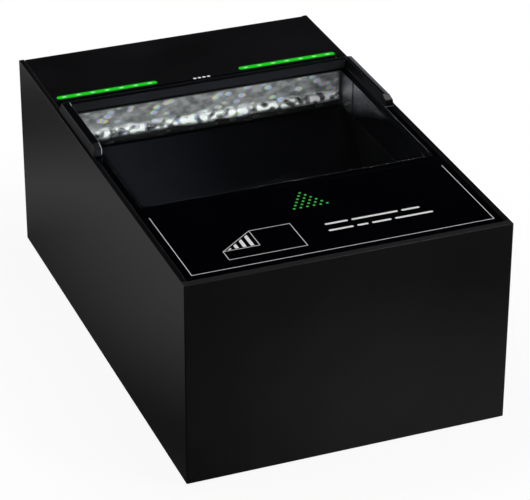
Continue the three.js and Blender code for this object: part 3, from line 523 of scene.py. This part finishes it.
# %% Window glass
glass = Finish("window_glass", Base_Color=(0.93, 0.96, 0.95, 1), Transmission_Weight=1.0, IOR=1.5)
smear = glass.noise(40 * mm, 3.0, 0.6)
glass.set("Roughness", smear.between(0.55, 0.75) * 0.03)
tinted_hole = glass.node("ShaderNodeBsdfTransparent", None, {"Color": (0.88, 0.91, 0.90, 1)})
glass.overlay(glass.ray("Is Shadow Ray"), tinted_hole)
window_glass = glass.material
print("made", window_glass.name)

# %% Dark mirror
coated = Finish("dark_mirror", Specular_IOR_Level=0.35)
to_right = coated.axis("X").between(-60 * mm, 10 * mm)
coated.set("Base Color", coated.mix_colour(to_right, (0.0075, 0.0083, 0.0108), (0.0005, 0.0005, 0.0009)))
coated.set("Roughness", coated.noise(30 * mm) * 0.1 + 0.10)
dark_mirror = coated.material
print("made", dark_mirror.name)

# %% [markdown]
# ## Foil of the light box
#
# The rear wall of the light box is lined with bright foil that has been dented by hand. It breaks the lamps
# up, and that is painted into its colour: the coloured flecks all over it are painted glints, a row of white
# blobs is painted highlights, and the dark gaps between them and the black foot under them are painted
# shade. Real dents alone would throw the lamps back at random, so the flecks come from scattered cells and
# the blobs from smooth noise in a band above the foot. The side walls carry a smoother foil with an upright
# seam. Its colour is painted light: bright at the top, and the bright part runs out in a slanting line
# towards the front.

# %% Painted glints, highlights and shade of the rear foil
rear_wall_low, rear_wall_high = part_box("light_box_rear")
foil_foot = rear_wall_low[2] + 0.5 * mm
bright_foil = Finish("crinkled_foil")
above_foot = bright_foil.axis("Z") - foil_foot
# Painted reflections of the lamps: flecks are painted glints, blobs are painted highlights, and the gaps
# between blobs are painted shade.
lively = bright_foil.noise(11 * mm, 1.0, scale=(1, 0, 0)).between(0.30, 0.45)
fleck_glint = bright_foil.cells(3.3 * mm, scale=(0.6, 0, 1)).until(0.20, 0.44) * lively
lumps = bright_foil.noise(3.1 * mm, 0.0, scale=(0.9, 0, 1.0))
highlight_band = above_foot.between(3.0 * mm, 4.2 * mm) * above_foot.until(5.6 * mm, 7.2 * mm)
blob_highlight = lumps.between(0.50, 0.55) * highlight_band
gap_shade = lumps.until(0.36, 0.44) * above_foot.until(7.0 * mm, 8.5 * mm)
streaks = bright_foil.noise(4 * mm, 2.0, scale=(0.4, 1, 2)) * (4 * mm)
above_shade = (above_foot + streaks).between(4.2 * mm, 6.5 * mm) * (1 - gap_shade * 0.8)
print("foil's black foot ends about", round(foil_foot / mm + 4.2, 1), "mm up")

# %% Colours of the rear foil
spread = (bright_foil.axis("X") - bright_foil.axis("Z")) / (4 * mm) + bright_foil.noise(4 * mm)
rainbow = bright_foil.node("ShaderNodeValToRGB", {"stops": [
    (0.0, (0.90, 0.34, 0.14)),
    (0.3, (0.60, 0.75, 0.22)),
    (0.6, (0.20, 0.50, 0.85)),
    (1.0, (0.58, 0.30, 0.85)),
]}, {0: spread.fraction()}).outputs[0]
dents = bright_foil.noise(3.5 * mm, 3.0, scale=(0.7, 0, 1)).between(0.32, 0.68)
silver = bright_foil.mix_colour(dents, (0.36, 0.36, 0.37), (0.94, 0.94, 0.96))
flecked = bright_foil.mix_colour(fleck_glint, silver, rainbow)
# Painted shade: the foot of the foil is nearly black, with dark gaps between the blobs.
shaded = bright_foil.mix_colour(above_shade, (0.02, 0.02, 0.02), flecked)
hammer = bright_foil.noise(3 * mm, 2.0)
# Painted highlights: the blobs are near white and less metallic.
bright_foil.set("Base Color", bright_foil.mix_colour(blob_highlight, shaded, (0.97, 0.97, 0.97)))
bright_foil.set("Metallic", 0.72 - fleck_glint.most(blob_highlight) * 0.6)
bright_foil.set("Roughness", hammer * 0.10 + 0.12)
bright_foil.bump(hammer, 0.1 * mm)
crinkled_foil = bright_foil.material
print("rear foil with", len(bright_foil.tree.nodes), "nodes")

# %% Side foil
foil_crest = rear_wall_high[2] + 0.5 * mm
seam_start, seam_end = 37.4 * mm, 39.4 * mm
plain_foil = Finish("satin_foil", Metallic=0.6, Specular_IOR_Level=0.3)
waves = plain_foil.noise(12 * mm, 2.0)
along_wall = plain_foil.axis("Y")
slanting = along_wall + (plain_foil.axis("Z") - foil_crest) * 2.4 + waves * (8 * mm)
seam = along_wall.inside(seam_start, seam_end, 0.5 * mm)
# Painted light: the side foil is bright near the top, and the bright part runs out in a slanting line towards
# the front; the seam stays dark.
painted_light_part = slanting.between(-2 * mm, 22 * mm) * (1 - seam)
plain_foil.set("Base Color", plain_foil.mix_colour(painted_light_part, (0.003, 0.003, 0.004), (0.235, 0.23, 0.255)))
plain_foil.set("Roughness", waves * 0.1 + 0.16)
plain_foil.bump(plain_foil.noise(6 * mm, 1.0), 0.1 * mm)
satin_foil = plain_foil.material
print("side foil's seam", round((seam_end - seam_start) / mm, 1), "mm wide")

# %% [markdown]
# ## Metals, rubber and boards
#
# These are the small parts that a look from behind, from below or into the casing shows. Bare metal gets
# fine lines, and on the extruded heat sink they are drawn out along one axis. Coated and flocked pieces,
# rubber, foam and film are made as the plastics are, with other numbers. The boards have a net of tracks
# under their green mask, which is drawn from the edges between cells.

# %% Metals and coats
def brushed(name, colour, roughness, stretch=(1, 1, 1)):
    """A bare metal with fine lines, drawn out along the axis that `stretch` makes small."""
    finish = Finish(name, Metallic=1.0)
    lines = finish.noise(0.6 * mm, 2.0, 0.6, stretch)
    dull = tuple(c * 0.8 for c in colour)
    finish.set("Base Color", finish.mix_colour(lines, dull, colour))
    finish.set("Roughness", lines * 0.12 + roughness)
    finish.bump(lines, 0.01 * mm)
    return finish.material


plated_steel = brushed("plated_steel", (0.62, 0.62, 0.60), 0.24)
bare_aluminium = brushed("bare_aluminium", (0.72, 0.73, 0.74), 0.32, (1, 0.05, 1))
powder_coat = moulded("powder_coat", (0.011, 0.011, 0.012), 0.55, 1.1 * mm, 0.06 * mm)
flock = moulded("black_flock", (0.0005, 0.0005, 0.0007), 0.8, 0.5 * mm, 0.02 * mm, specular=0.05)
lens_black = moulded("lens_black", (0.008, 0.008, 0.009), 0.35, 0.3 * mm, 0.01 * mm)
hard_finishes = (plated_steel, bare_aluminium, powder_coat, flock, lens_black)
print("hard finishes:", [hard.name for hard in hard_finishes])

# %% Rubber, foam and film
rubber = moulded("foot_rubber", (0.009, 0.009, 0.009), 0.8, 0.8 * mm, 0.04 * mm, specular=0.3)
foam = moulded("gasket_foam", (0.006, 0.006, 0.006), 0.95, 0.4 * mm, 0.1 * mm, specular=0.2)
antenna_film = moulded("antenna_film", (0.0035, 0.0035, 0.0040), 0.25, 2 * mm, 0.01 * mm)
ribbon_film = moulded("ribbon_film", (0.55, 0.57, 0.58), 0.4, 1 * mm, 0.01 * mm, lighter=1.1)
print("soft finishes:", [soft.name for soft in (rubber, foam, antenna_film, ribbon_film)])

# %% Boards
solder_mask = Finish("solder_mask", Specular_IOR_Level=0.5)
between_tracks = solder_mask.cells(4 * mm, "DISTANCE_TO_EDGE", 0.2).between(0.06, 0.09)
green = solder_mask.mix_colour(between_tracks, (0.012, 0.085, 0.040), (0.006, 0.045, 0.022))
solder_mask.set("Base Color", green)
solder_mask.set("Roughness", between_tracks * 0.15 + 0.3)
solder_mask.bump(between_tracks * -1, 0.03 * mm)
circuit_board = solder_mask.material
print("made", circuit_board.name)

# %% [markdown]
# ## Lights
#
# Each green strip is a frosted bar over seven lamps. Right above a lamp it is palest, and between the lamps
# and towards its edges it falls back to green. Seven small lamps behind a real diffuser would take long to
# render, so the bar itself glows, with its pale places worked out from its own length. The dots in the
# front panel are one clear moulding over a board. The light box has lamps of its own, whose light the foil
# throws back.

# %% Green strips
strip_low, strip_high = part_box("light_strip_right")
strip_width = 3.4 * mm
strip_length = 47 * mm
strip_start = strip_high[0] - strip_length
strip_y = strip_low[1] + strip_width / 2
lamps_per_strip = 7

strip_colour = (0.001, 0.12, 0.002, 1)
strip = Finish("green_light", Base_Color=strip_colour, Specular_IOR_Level=0.05, Emission_Strength=1.0)
lamps_passed = (abs(strip.axis("X")) - strip_start) / (strip_length / lamps_per_strip)
to_lamp = abs(lamps_passed.fraction() - 0.5)
to_edge = abs(strip.axis("Y") - strip_y) / (strip_width / 2)
spot = to_lamp.until(0.03, 0.24) * to_edge.until(0.10, 0.60)
spotted = strip.mix_colour(spot, (0.001, 0.46, 0.001), (0.26, 0.84, 0.28))
strip.set("Emission Color", strip.mix_colour(to_edge.between(0.35, 1.0), spotted, (0.002, 0.13, 0.004)))
strip.set("Roughness", to_edge.until(0.55, 1.05) * 0.1 + 0.3)
green_light = strip.material
print("green strips", round(strip_length / mm, 1), "mm long with", lamps_per_strip, "lamps each")

# %% Dots and lamps
dots = Finish("pointer_dots", Base_Color=(0.01, 0.15, 0.02, 1), Specular_IOR_Level=0.2, Emission_Strength=0.8)
cloudy = dots.noise(1.2 * mm).between(0.35, 0.65)
dots.set("Emission Color", dots.mix_colour(cloudy, (0.015, 0.22, 0.02), (0.04, 0.36, 0.05)))
dots.set("Roughness", dots.noise(1 * mm) * 0.2 + 0.3)
pointer_dots = dots.material

bulb = Finish("white_lamp", Base_Color=(0.9, 0.9, 0.85, 1), Roughness=0.4, Emission_Strength=330.0)
bulb.set("Emission Color", bulb.mix_colour(bulb.noise(2 * mm), (1.0, 0.97, 0.90), (0.90, 0.96, 1.0)))
white_lamp = bulb.material
print("made", pointer_dots.name, "and", white_lamp.name)

# %% [markdown]
# ## Softened shells
#
# A moulding has no razor edges: each edge is rounded by a few tenths of a millimetre, and that rounding is
# what draws the pale lines round a black box. The shells are copied from the frame, their flat faces are
# merged, and their edges are bevelled in mesh code. Each copy then stands for the node that it came from.
# The guide's inner flanks lean in the frame, and its shell stands them upright.

# %% Copy and soften
def new_piece(name, mesh, material):
    """A piece of the reader, which rides on its only body."""
    piece = bpy.data.objects.new(name, mesh)
    bpy.context.collection.objects.link(piece)
    mesh.materials.append(material)
    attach(piece, "root")
    return piece


def finished_mesh(name, work, smooth=False):
    """Turns the bmesh `work` into a mesh, and frees it."""
    for face in work.faces:
        face.smooth = smooth
    mesh = bpy.data.meshes.new(name)
    work.to_mesh(mesh)
    work.free()
    return mesh


def softened(node, width, material, sharp_angle=24, reshape=None):
    """Stands a copy of a node in its place, with edges rounded over `width` metres."""
    work = bmesh.new()
    work.from_mesh(nodes[node].data)
    bmesh.ops.remove_doubles(work, verts=work.verts, dist=1e-6)
    if reshape:
        reshape(work)
    bmesh.ops.dissolve_limit(
        work, angle_limit=math.radians(0.5), verts=work.verts, edges=work.edges,
        use_dissolve_boundaries=False,
    )
    limit = math.radians(sharp_angle)
    sharp = [e for e in work.edges if len(e.link_faces) == 2 and e.calc_face_angle(0) > limit]
    bmesh.ops.bevel(
        work, geom=sharp, offset=width, offset_type="OFFSET", segments=2, profile=0.5,
        affect="EDGES", clamp_overlap=True,
    )
    piece = new_piece(node + "_shell", finished_mesh(node + "_shell", work, smooth=True), material)
    weighted = piece.modifiers.new("weighted", "WEIGHTED_NORMAL")
    weighted.keep_sharp = True
    weighted.weight = 100
    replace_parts(piece, node)
    return piece


shells = {
    "housing": (0.3, casing_satin, "casing"),
    "rear_panel": (0.2, casing_satin, "casing"),
    "rear_deck": (0.2, deck_satin, "casing"),
    "front_panel": (0.12, polished_black, "gloss_panel"),
    "window_bezel": (0.2, bezel_satin, "bezel"),
    "glass_pane": (0.2, window_glass, "window_glass"),
}
for node, (width, material, slot) in shells.items():
    shell = softened(node, width * mm, material)
    print(node, "softened:", len(shell.data.polygons), "faces")

# %% Document guide
flank_reach = 1.4 * mm


def upright_flanks(work):
    """Stands the arms' inner flanks upright over the window's edge."""
    for vert in work.verts:
        outer = abs(vert.co.x)
        if arm_inner < outer < arm_inner + flank_reach and vert.co.z < guide_crest - 0.1 * mm:
            vert.co.x = math.copysign(arm_inner, vert.co.x)


guide = softened("document_guide", 0.25 * mm, guide_satin, sharp_angle=8, reshape=upright_flanks)
print("document_guide softened:", len(guide.data.polygons), "faces")

# %% [markdown]
# ## Foil in the light box
#
# A flat sheet with a bump map reflects like a flat sheet, so the rear foil is a grid whose points are pushed
# in and out by smooth noise. Its lower half stands out by about a millimetre, as a sheet does that was
# pressed into the corner with a thumb. The side foils are flat.

# %% Crinkled sheets
dent_size = 4.5 * mm
dent_slice = 27 * mm
swell_size = 7 * mm
swell_slice = 15 * mm
ridge_top = 0.52
ridge_fade = 0.27


def smooth_step(share):
    share = min(1.0, max(0.0, share))
    return share * share * (3 - 2 * share)


def crinkled_sheet(name, corner, along, up, columns, rows, material, depth=0.0, ridge=0.0):
    """A sheet from `corner` along two edge vectors, as a grid of `columns` by `rows` cells.

    Smooth noise dents it by `depth`, and its lower half stands out by `ridge`.
    """
    out = along.cross(up).normalized()
    work = bmesh.new()
    grid = []
    for j in range(rows + 1):
        row = []
        for i in range(columns + 1):
            aside, rise = along * i / columns, up * j / rows
            dent = noise.noise(Vector((aside.length, rise.length, dent_slice)) / dent_size)
            swell = noise.noise(Vector((aside.length, 0, swell_slice)) / swell_size)
            pinned = i in (0, columns) or j == 0
            push = 0.0 if pinned else depth * (0.5 + 0.5 * dent)
            below_ridge = (ridge_top + 0.08 * swell - j / rows) / ridge_fade
            push += ridge * (1 + 0.6 * swell) * smooth_step(below_ridge)
            row.append(work.verts.new(corner + aside + rise + out * push))
        grid.append(row)
    for j in range(rows):
        for i in range(columns):
            a, b, c, d = grid[j][i], grid[j][i + 1], grid[j + 1][i + 1], grid[j + 1][i]
            if (i + j) % 2:
                work.faces.new((a, b, c))
                work.faces.new((a, c, d))
            else:
                work.faces.new((a, b, d))
                work.faces.new((b, c, d))
    piece = new_piece(name, finished_mesh(name, work, smooth=True), material)
    rounded = piece.modifiers.new("round_the_creases", "SUBSURF")
    rounded.levels = 1
    rounded.render_levels = 1
    print(name, columns, "x", rows, "cells")


# %% Foil on three walls
foil_gap = 0.15 * mm
corner_gap = 1.2 * mm
wall_low, wall_high = rear_wall_low[2] + 0.3 * mm, rear_wall_high[2] - 0.2 * mm
tall = Vector((0, 0, wall_high - wall_low))
inner_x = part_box("light_box_right")[0][0] - foil_gap
inner_rear = rear_wall_low[1] - foil_gap
inner_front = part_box("light_box_front")[1][1] + foil_gap
across = Vector((2 * (inner_x - corner_gap), 0, 0))
backwards = Vector((0, inner_rear - inner_front - 2 * corner_gap, 0))

rear_corner = Vector((-inner_x + corner_gap, inner_rear, wall_low))
right_corner = Vector((inner_x, inner_rear - corner_gap, wall_low))
left_corner = Vector((-inner_x, inner_front + corner_gap, wall_low))

crinkled_sheet("foil_rear", rear_corner, across, tall, 80, 16, crinkled_foil, depth=0.36 * mm, ridge=1.0 * mm)
crinkled_sheet("foil_right", right_corner, -backwards, tall, 8, 2, satin_foil)
crinkled_sheet("foil_left", left_corner, backwards, tall, 8, 2, satin_foil)

# %% [markdown]
# ## Printing on the front panel
#
# White ink marks where the document goes: a line round three sides of the panel, a page with a turned
# corner, and two lines of plain bars. The deck has a small mark of the same ink. A picture laid over the
# panel would blur up close, so the ink is a film a few hundredths of a millimetre thick, cut to each
# outline, and has real edges from any side.

# %% Ink
ink = Finish("white_ink", Specular_IOR_Level=0.3)
ink.set("Base Color", ink.mix_colour(ink.noise(1.5 * mm, 3.0), (0.62, 0.62, 0.62), (0.80, 0.80, 0.80)))
ink.set("Roughness", ink.noise(1 * mm) * 0.2 + 0.5)
white_ink = ink.material
ink_thickness = 0.03 * mm
panel_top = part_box("front_panel")[1][2]


def ink_film(name, outlines, top=panel_top):
    """Closed outlines of (x, y) points in metres, each raised into a thin film on a flat surface."""
    work = bmesh.new()
    for outline in outlines:
        low = [work.verts.new((x, y, top)) for x, y in outline]
        high = [work.verts.new((x, y, top + ink_thickness)) for x, y in outline]
        work.faces.new(high)
        work.faces.new(reversed(low))
        for i in range(len(outline)):
            j = (i + 1) % len(outline)
            work.faces.new((low[i], low[j], high[j], high[i]))
    bmesh.ops.remove_doubles(work, verts=work.verts, dist=1e-7)
    inside = [face for face in work.faces if all(len(edge.link_faces) > 2 for edge in face.edges)]
    bmesh.ops.delete(work, geom=inside, context="FACES_ONLY")
    bmesh.ops.recalc_face_normals(work, faces=work.faces)
    piece = new_piece(name, finished_mesh(name, work), white_ink)
    print(name, len(piece.data.polygons), "faces")


print("ink lies at", round(panel_top / mm, 2), "mm")


# %% Lines and bars
def band(points, width, closed=False):
    """A line of even width along a path: one outline for each stretch, mitred at the corners."""
    path = [Vector(p) for p in points]
    count = len(path)
    stretches = count if closed else count - 1
    rights = []
    for i in range(stretches):
        along = (path[(i + 1) % count] - path[i]).normalized()
        rights.append(Vector((along.y, -along.x)))
    offsets = []
    for i in range(count):
        before = rights[i - 1] if closed or i > 0 else rights[0]
        after = rights[i % stretches] if closed or i < stretches else rights[-1]
        offsets.append((before + after) * (width / 2) / (1 + before.dot(after)))
    sides = [(point - offset, point + offset) for point, offset in zip(path, offsets)]
    outlines = []
    for i in range(stretches):
        (left, right), (next_left, next_right) = sides[i], sides[(i + 1) % count]
        outlines.append([left, right, next_right, next_left])
    return outlines


def round_bar(x0, x1, y, height, steps=6):
    """A lying bar with round ends."""
    r = height / 2
    angles = [math.pi * k / steps for k in range(steps + 1)]
    right = [(x1 - r + r * math.sin(a), y - r * math.cos(a)) for a in angles]
    left = [(x0 + r - r * math.sin(a), y + r * math.cos(a)) for a in angles]
    return right + left


# %% Line round the panel
border_x = 65.3 * mm
border_front = -104.4 * mm
border_rear = -53.9 * mm
border_width = 0.26 * mm
ink_film("printed_border", band(
    [(-border_x, border_rear), (-border_x, border_front), (border_x, border_front), (border_x, border_rear)],
    border_width,
))

# %% Page with a turned corner
page_left, page_right = -47.2 * mm, -13.8 * mm
page_front, page_rear = -98.0 * mm, -78.5 * mm
fold_x, fold_y = -31.5 * mm, -91.0 * mm
page_line = 0.24 * mm
page = [
    (page_left, fold_y), (page_left, page_front), (page_right, page_front),
    (page_right, page_rear), (fold_x, page_rear),
]
flap = [(page_left, fold_y), (fold_x, page_rear), (fold_x, fold_y)]
ink_film("printed_page", band(page, page_line) + band(flap, page_line, closed=True))

# %% Stripes on the flap
stripe_width = 1.5 * mm
stripe_low = fold_y + 0.7 * mm
stripe_gap = 1.1 * mm
fold_slope = (page_rear - fold_y) / (fold_x - page_left)


def under_fold(x):
    """How far back a stripe may reach at `x`, a little short of the fold."""
    return fold_y + (x - page_left) * fold_slope - stripe_gap


stripe_middles = (-34.3, -37.6, -40.9, -44.1)
stripes = []
for middle in stripe_middles:
    left, right = middle * mm - stripe_width / 2, middle * mm + stripe_width / 2
    stripes.append([
        (left, stripe_low),
        (right, stripe_low),
        (right, under_fold(right)),
        (left, max(under_fold(left), stripe_low)),
    ])
ink_film("printed_stripes", stripes)

# %% Two lines of plain bars
bar_height = 1.25 * mm
upper_line = (-84.4, [(-0.8, 9.3), (10.9, 31.4), (33.0, 41.2)])
lower_line = (-89.8, [(-1.3, 9.6), (11.2, 16.1), (17.7, 26.3), (27.9, 44.8)])
bars = []
for y, spans in (upper_line, lower_line):
    bars += [round_bar(x0 * mm, x1 * mm, y * mm, bar_height) for x0, x1 in spans]
ink_film("printed_bars", bars)

# %% Small mark on the deck
deck_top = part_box("rear_deck")[1][2]
mark_y = strip_y - 2.7 * mm
mark_height = 1.5 * mm
mark_half = 0.8 * mm
mark_middles = (-2.6, -0.4, 1.8, 4.0)
mark = [round_bar(x * mm - mark_half, x * mm + mark_half, mark_y, mark_height) for x in mark_middles]
ink_film("printed_mark", mark, deck_top)

# %% [markdown]
# ## Screws and feet
#
# These show from behind and below. A turned part is a profile that is spun about its axis, so one lathe
# makes them all. The screws get a domed head with a cross recess, which is a boolean cut, and the feet get
# a moulded ring. They stand where the frame's plain ones are.

# %% Lathe
def lathe(profile, steps):
    """Turns [radius, height] points about Z into a closed skin. The profile starts and ends on the axis."""
    work = bmesh.new()
    rings = []
    for r, z in profile:
        if r == 0:
            rings.append([work.verts.new((0, 0, z))])
        else:
            turns = (2 * math.pi * k / steps for k in range(steps))
            rings.append([work.verts.new((r * math.cos(a), r * math.sin(a), z)) for a in turns])
    for low, high in zip(rings, rings[1:]):
        for k in range(steps):
            n = (k + 1) % steps
            if len(low) == 1:
                work.faces.new((low[0], high[k], high[n]))
            elif len(high) == 1:
                work.faces.new((low[k], high[0], low[n]))
            else:
                work.faces.new((low[k], high[k], high[n], low[n]))
    bmesh.ops.recalc_face_normals(work, faces=work.faces)
    return work


# %% Screws
head_height = 1.2 * mm
shank_radius = 1.5 * mm
recess_depth = 0.75 * mm


def screw_mesh(name, head_radius, reach):
    """A screw with a domed head below Z = 0 and a shank that reaches up to `reach`."""
    dome = [(0, 1), (0.55, 1), (0.82, 0.86), (0.97, 0.5), (1, 0.2), (1, 0)]
    profile = [(head_radius * across, -head_height * down) for across, down in dome]
    profile += [(shank_radius, 0), (shank_radius, reach - shank_radius), (0, reach)]
    return finished_mesh(name, lathe(profile, steps=40))


def cross_cutter(size):
    """Two crossed blocks, which cut the recess into the top of a head."""
    work = bmesh.new()
    arm = size * 0.18
    for x, y in ((size, arm), (arm, size)):
        made = bmesh.ops.create_cube(work, size=1)
        bmesh.ops.scale(work, vec=(2 * x, 2 * y, 2 * recess_depth), verts=made["verts"])
        bmesh.ops.translate(work, vec=(0, 0, -head_height), verts=made["verts"])
    return bpy.data.objects.new("cross_cutter", finished_mesh("cross_cutter", work))


def crossed_screw(node, pointing):
    """Replaces a plain screw with one that has a cross recess. `pointing` is the way its tip points."""
    low, high = (Vector(c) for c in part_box(node))
    size = high - low
    axis = 2 if abs(pointing.z) > 0.5 else 1
    radius = size[0] / 2
    mesh = screw_mesh(node + "_head", radius, size[axis] - head_height)
    piece = new_piece(node + "_crossed", mesh, plated_steel)
    cutter = cross_cutter(radius * 0.6)
    bpy.context.collection.objects.link(cutter)
    cut = piece.modifiers.new("recess", "BOOLEAN")
    cut.object = cutter
    cut.solver = "EXACT"
    cut.use_self = True
    bpy.context.view_layer.update()
    baked = bpy.data.meshes.new_from_object(piece.evaluated_get(bpy.context.evaluated_depsgraph_get()))
    piece.modifiers.clear()
    piece.data = baked
    bpy.data.objects.remove(cutter)
    start = (low + high) / 2
    start[axis] = low[axis] + head_height if pointing[axis] > 0 else high[axis] - head_height
    turn = Vector((0, 0, 1)).rotation_difference(pointing).to_matrix().to_4x4()
    baked.transform(Matrix.Translation(start) @ turn)
    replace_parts(piece, node)


tips = {"base_screw": Vector((0, 0, 1)), "rear_screw": Vector((0, -1, 0)), "board_screw": Vector((0, 0, -1))}
for node in nodes:
    for kind, pointing in tips.items():
        if node.startswith(kind):
            crossed_screw(node, pointing)
            print(node, "has a cross recess")

# %% Feet
def ringed_foot(node):
    """Replaces a plain foot with one whose sole is a ring round a shallow dish."""
    low, high = (Vector(c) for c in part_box(node))
    radius = (high.x - low.x) / 2
    tall = high.z - low.z
    shape = [
        (0, 0.12), (0.30, 0.12), (0.34, 0), (0.70, 0), (0.80, 0.04),
        (0.92, 0.2), (0.985, 0.5), (1, 1), (0, 1),
    ]
    turned = lathe([(radius * r, tall * z) for r, z in shape], steps=56)
    mesh = finished_mesh(node + "_moulded", turned, smooth=True)
    mesh.transform(Matrix.Translation(((low.x + high.x) / 2, (low.y + high.y) / 2, low.z)))
    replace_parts(new_piece(node + "_moulded", mesh, rubber), node)
    print(node, "moulded,", round(2 * radius / mm, 1), "mm across")


for node in nodes:
    if node.startswith("foot_"):
        ringed_foot(node)

# %% [markdown]
# ## The other nodes keep their shape
#
# Everything else is right as it is, and only takes its material. The lamp board is one node and would glow
# as a whole, so small lenses of lit plastic stand in front of its lamps instead.

# %% Finishes for the nodes that stay
finishes = {
    powder_coat: ["base_plate"],
    antenna_film: ["antenna_loop"],
    foam: ["glass_gasket"],
    inner_plastic: [
        "light_box_front", "light_box_rear", "light_box_left", "light_box_right",
        "lens_mount", "processor", "buzzer", "power_socket",
    ],
    circuit_board: ["lamp_board", "camera_board", "indicator_board", "pointer_board", "main_board"],
    dark_mirror: ["mirror"],
    flock: ["optics_bracket_left", "optics_bracket_right"],
    plated_steel: ["camera_bracket", "radio_shield", "usb_socket"],
    lens_black: ["lens_barrel"],
    window_glass: ["lens"],
    ribbon_film: ["camera_ribbon"],
    green_light: ["light_strip_left", "light_strip_right"],
    pointer_dots: ["pointer_light_guide"],
    bare_aluminium: ["heat_sink"],
}
for material, names in finishes.items():
    for node in names:
        for material_slot in nodes[node].material_slots:
            material_slot.material = material
    print(material.name, "on", len(names), "nodes")

# %% Lamp lenses
board_low, board_high = (Vector(c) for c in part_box("lamp_board"))
lamp_count = 10
lamp_radius = 1.2 * mm
lamp_z = (board_low.z + board_high.z) / 2
lenses = bmesh.new()
for i in range(lamp_count):
    x = board_low.x + (i + 0.5) / lamp_count * (board_high.x - board_low.x)
    made = bmesh.ops.create_uvsphere(lenses, u_segments=16, v_segments=8, radius=lamp_radius)
    bmesh.ops.scale(lenses, vec=(1, 0.4, 1), verts=made["verts"])
    bmesh.ops.translate(lenses, vec=(x, board_high.y, lamp_z), verts=made["verts"])
new_piece("lamp_lenses", finished_mesh("lamp_lenses", lenses), white_lamp)
print("lamp_lenses:", lamp_count)

# %% [markdown]
# ## Sizes and the end
#
# The box of the construction model is printed. The dressed reader has to stay inside the box of the
# construction model.

# %% Print the construction model's box
print("cad box", cad_box)
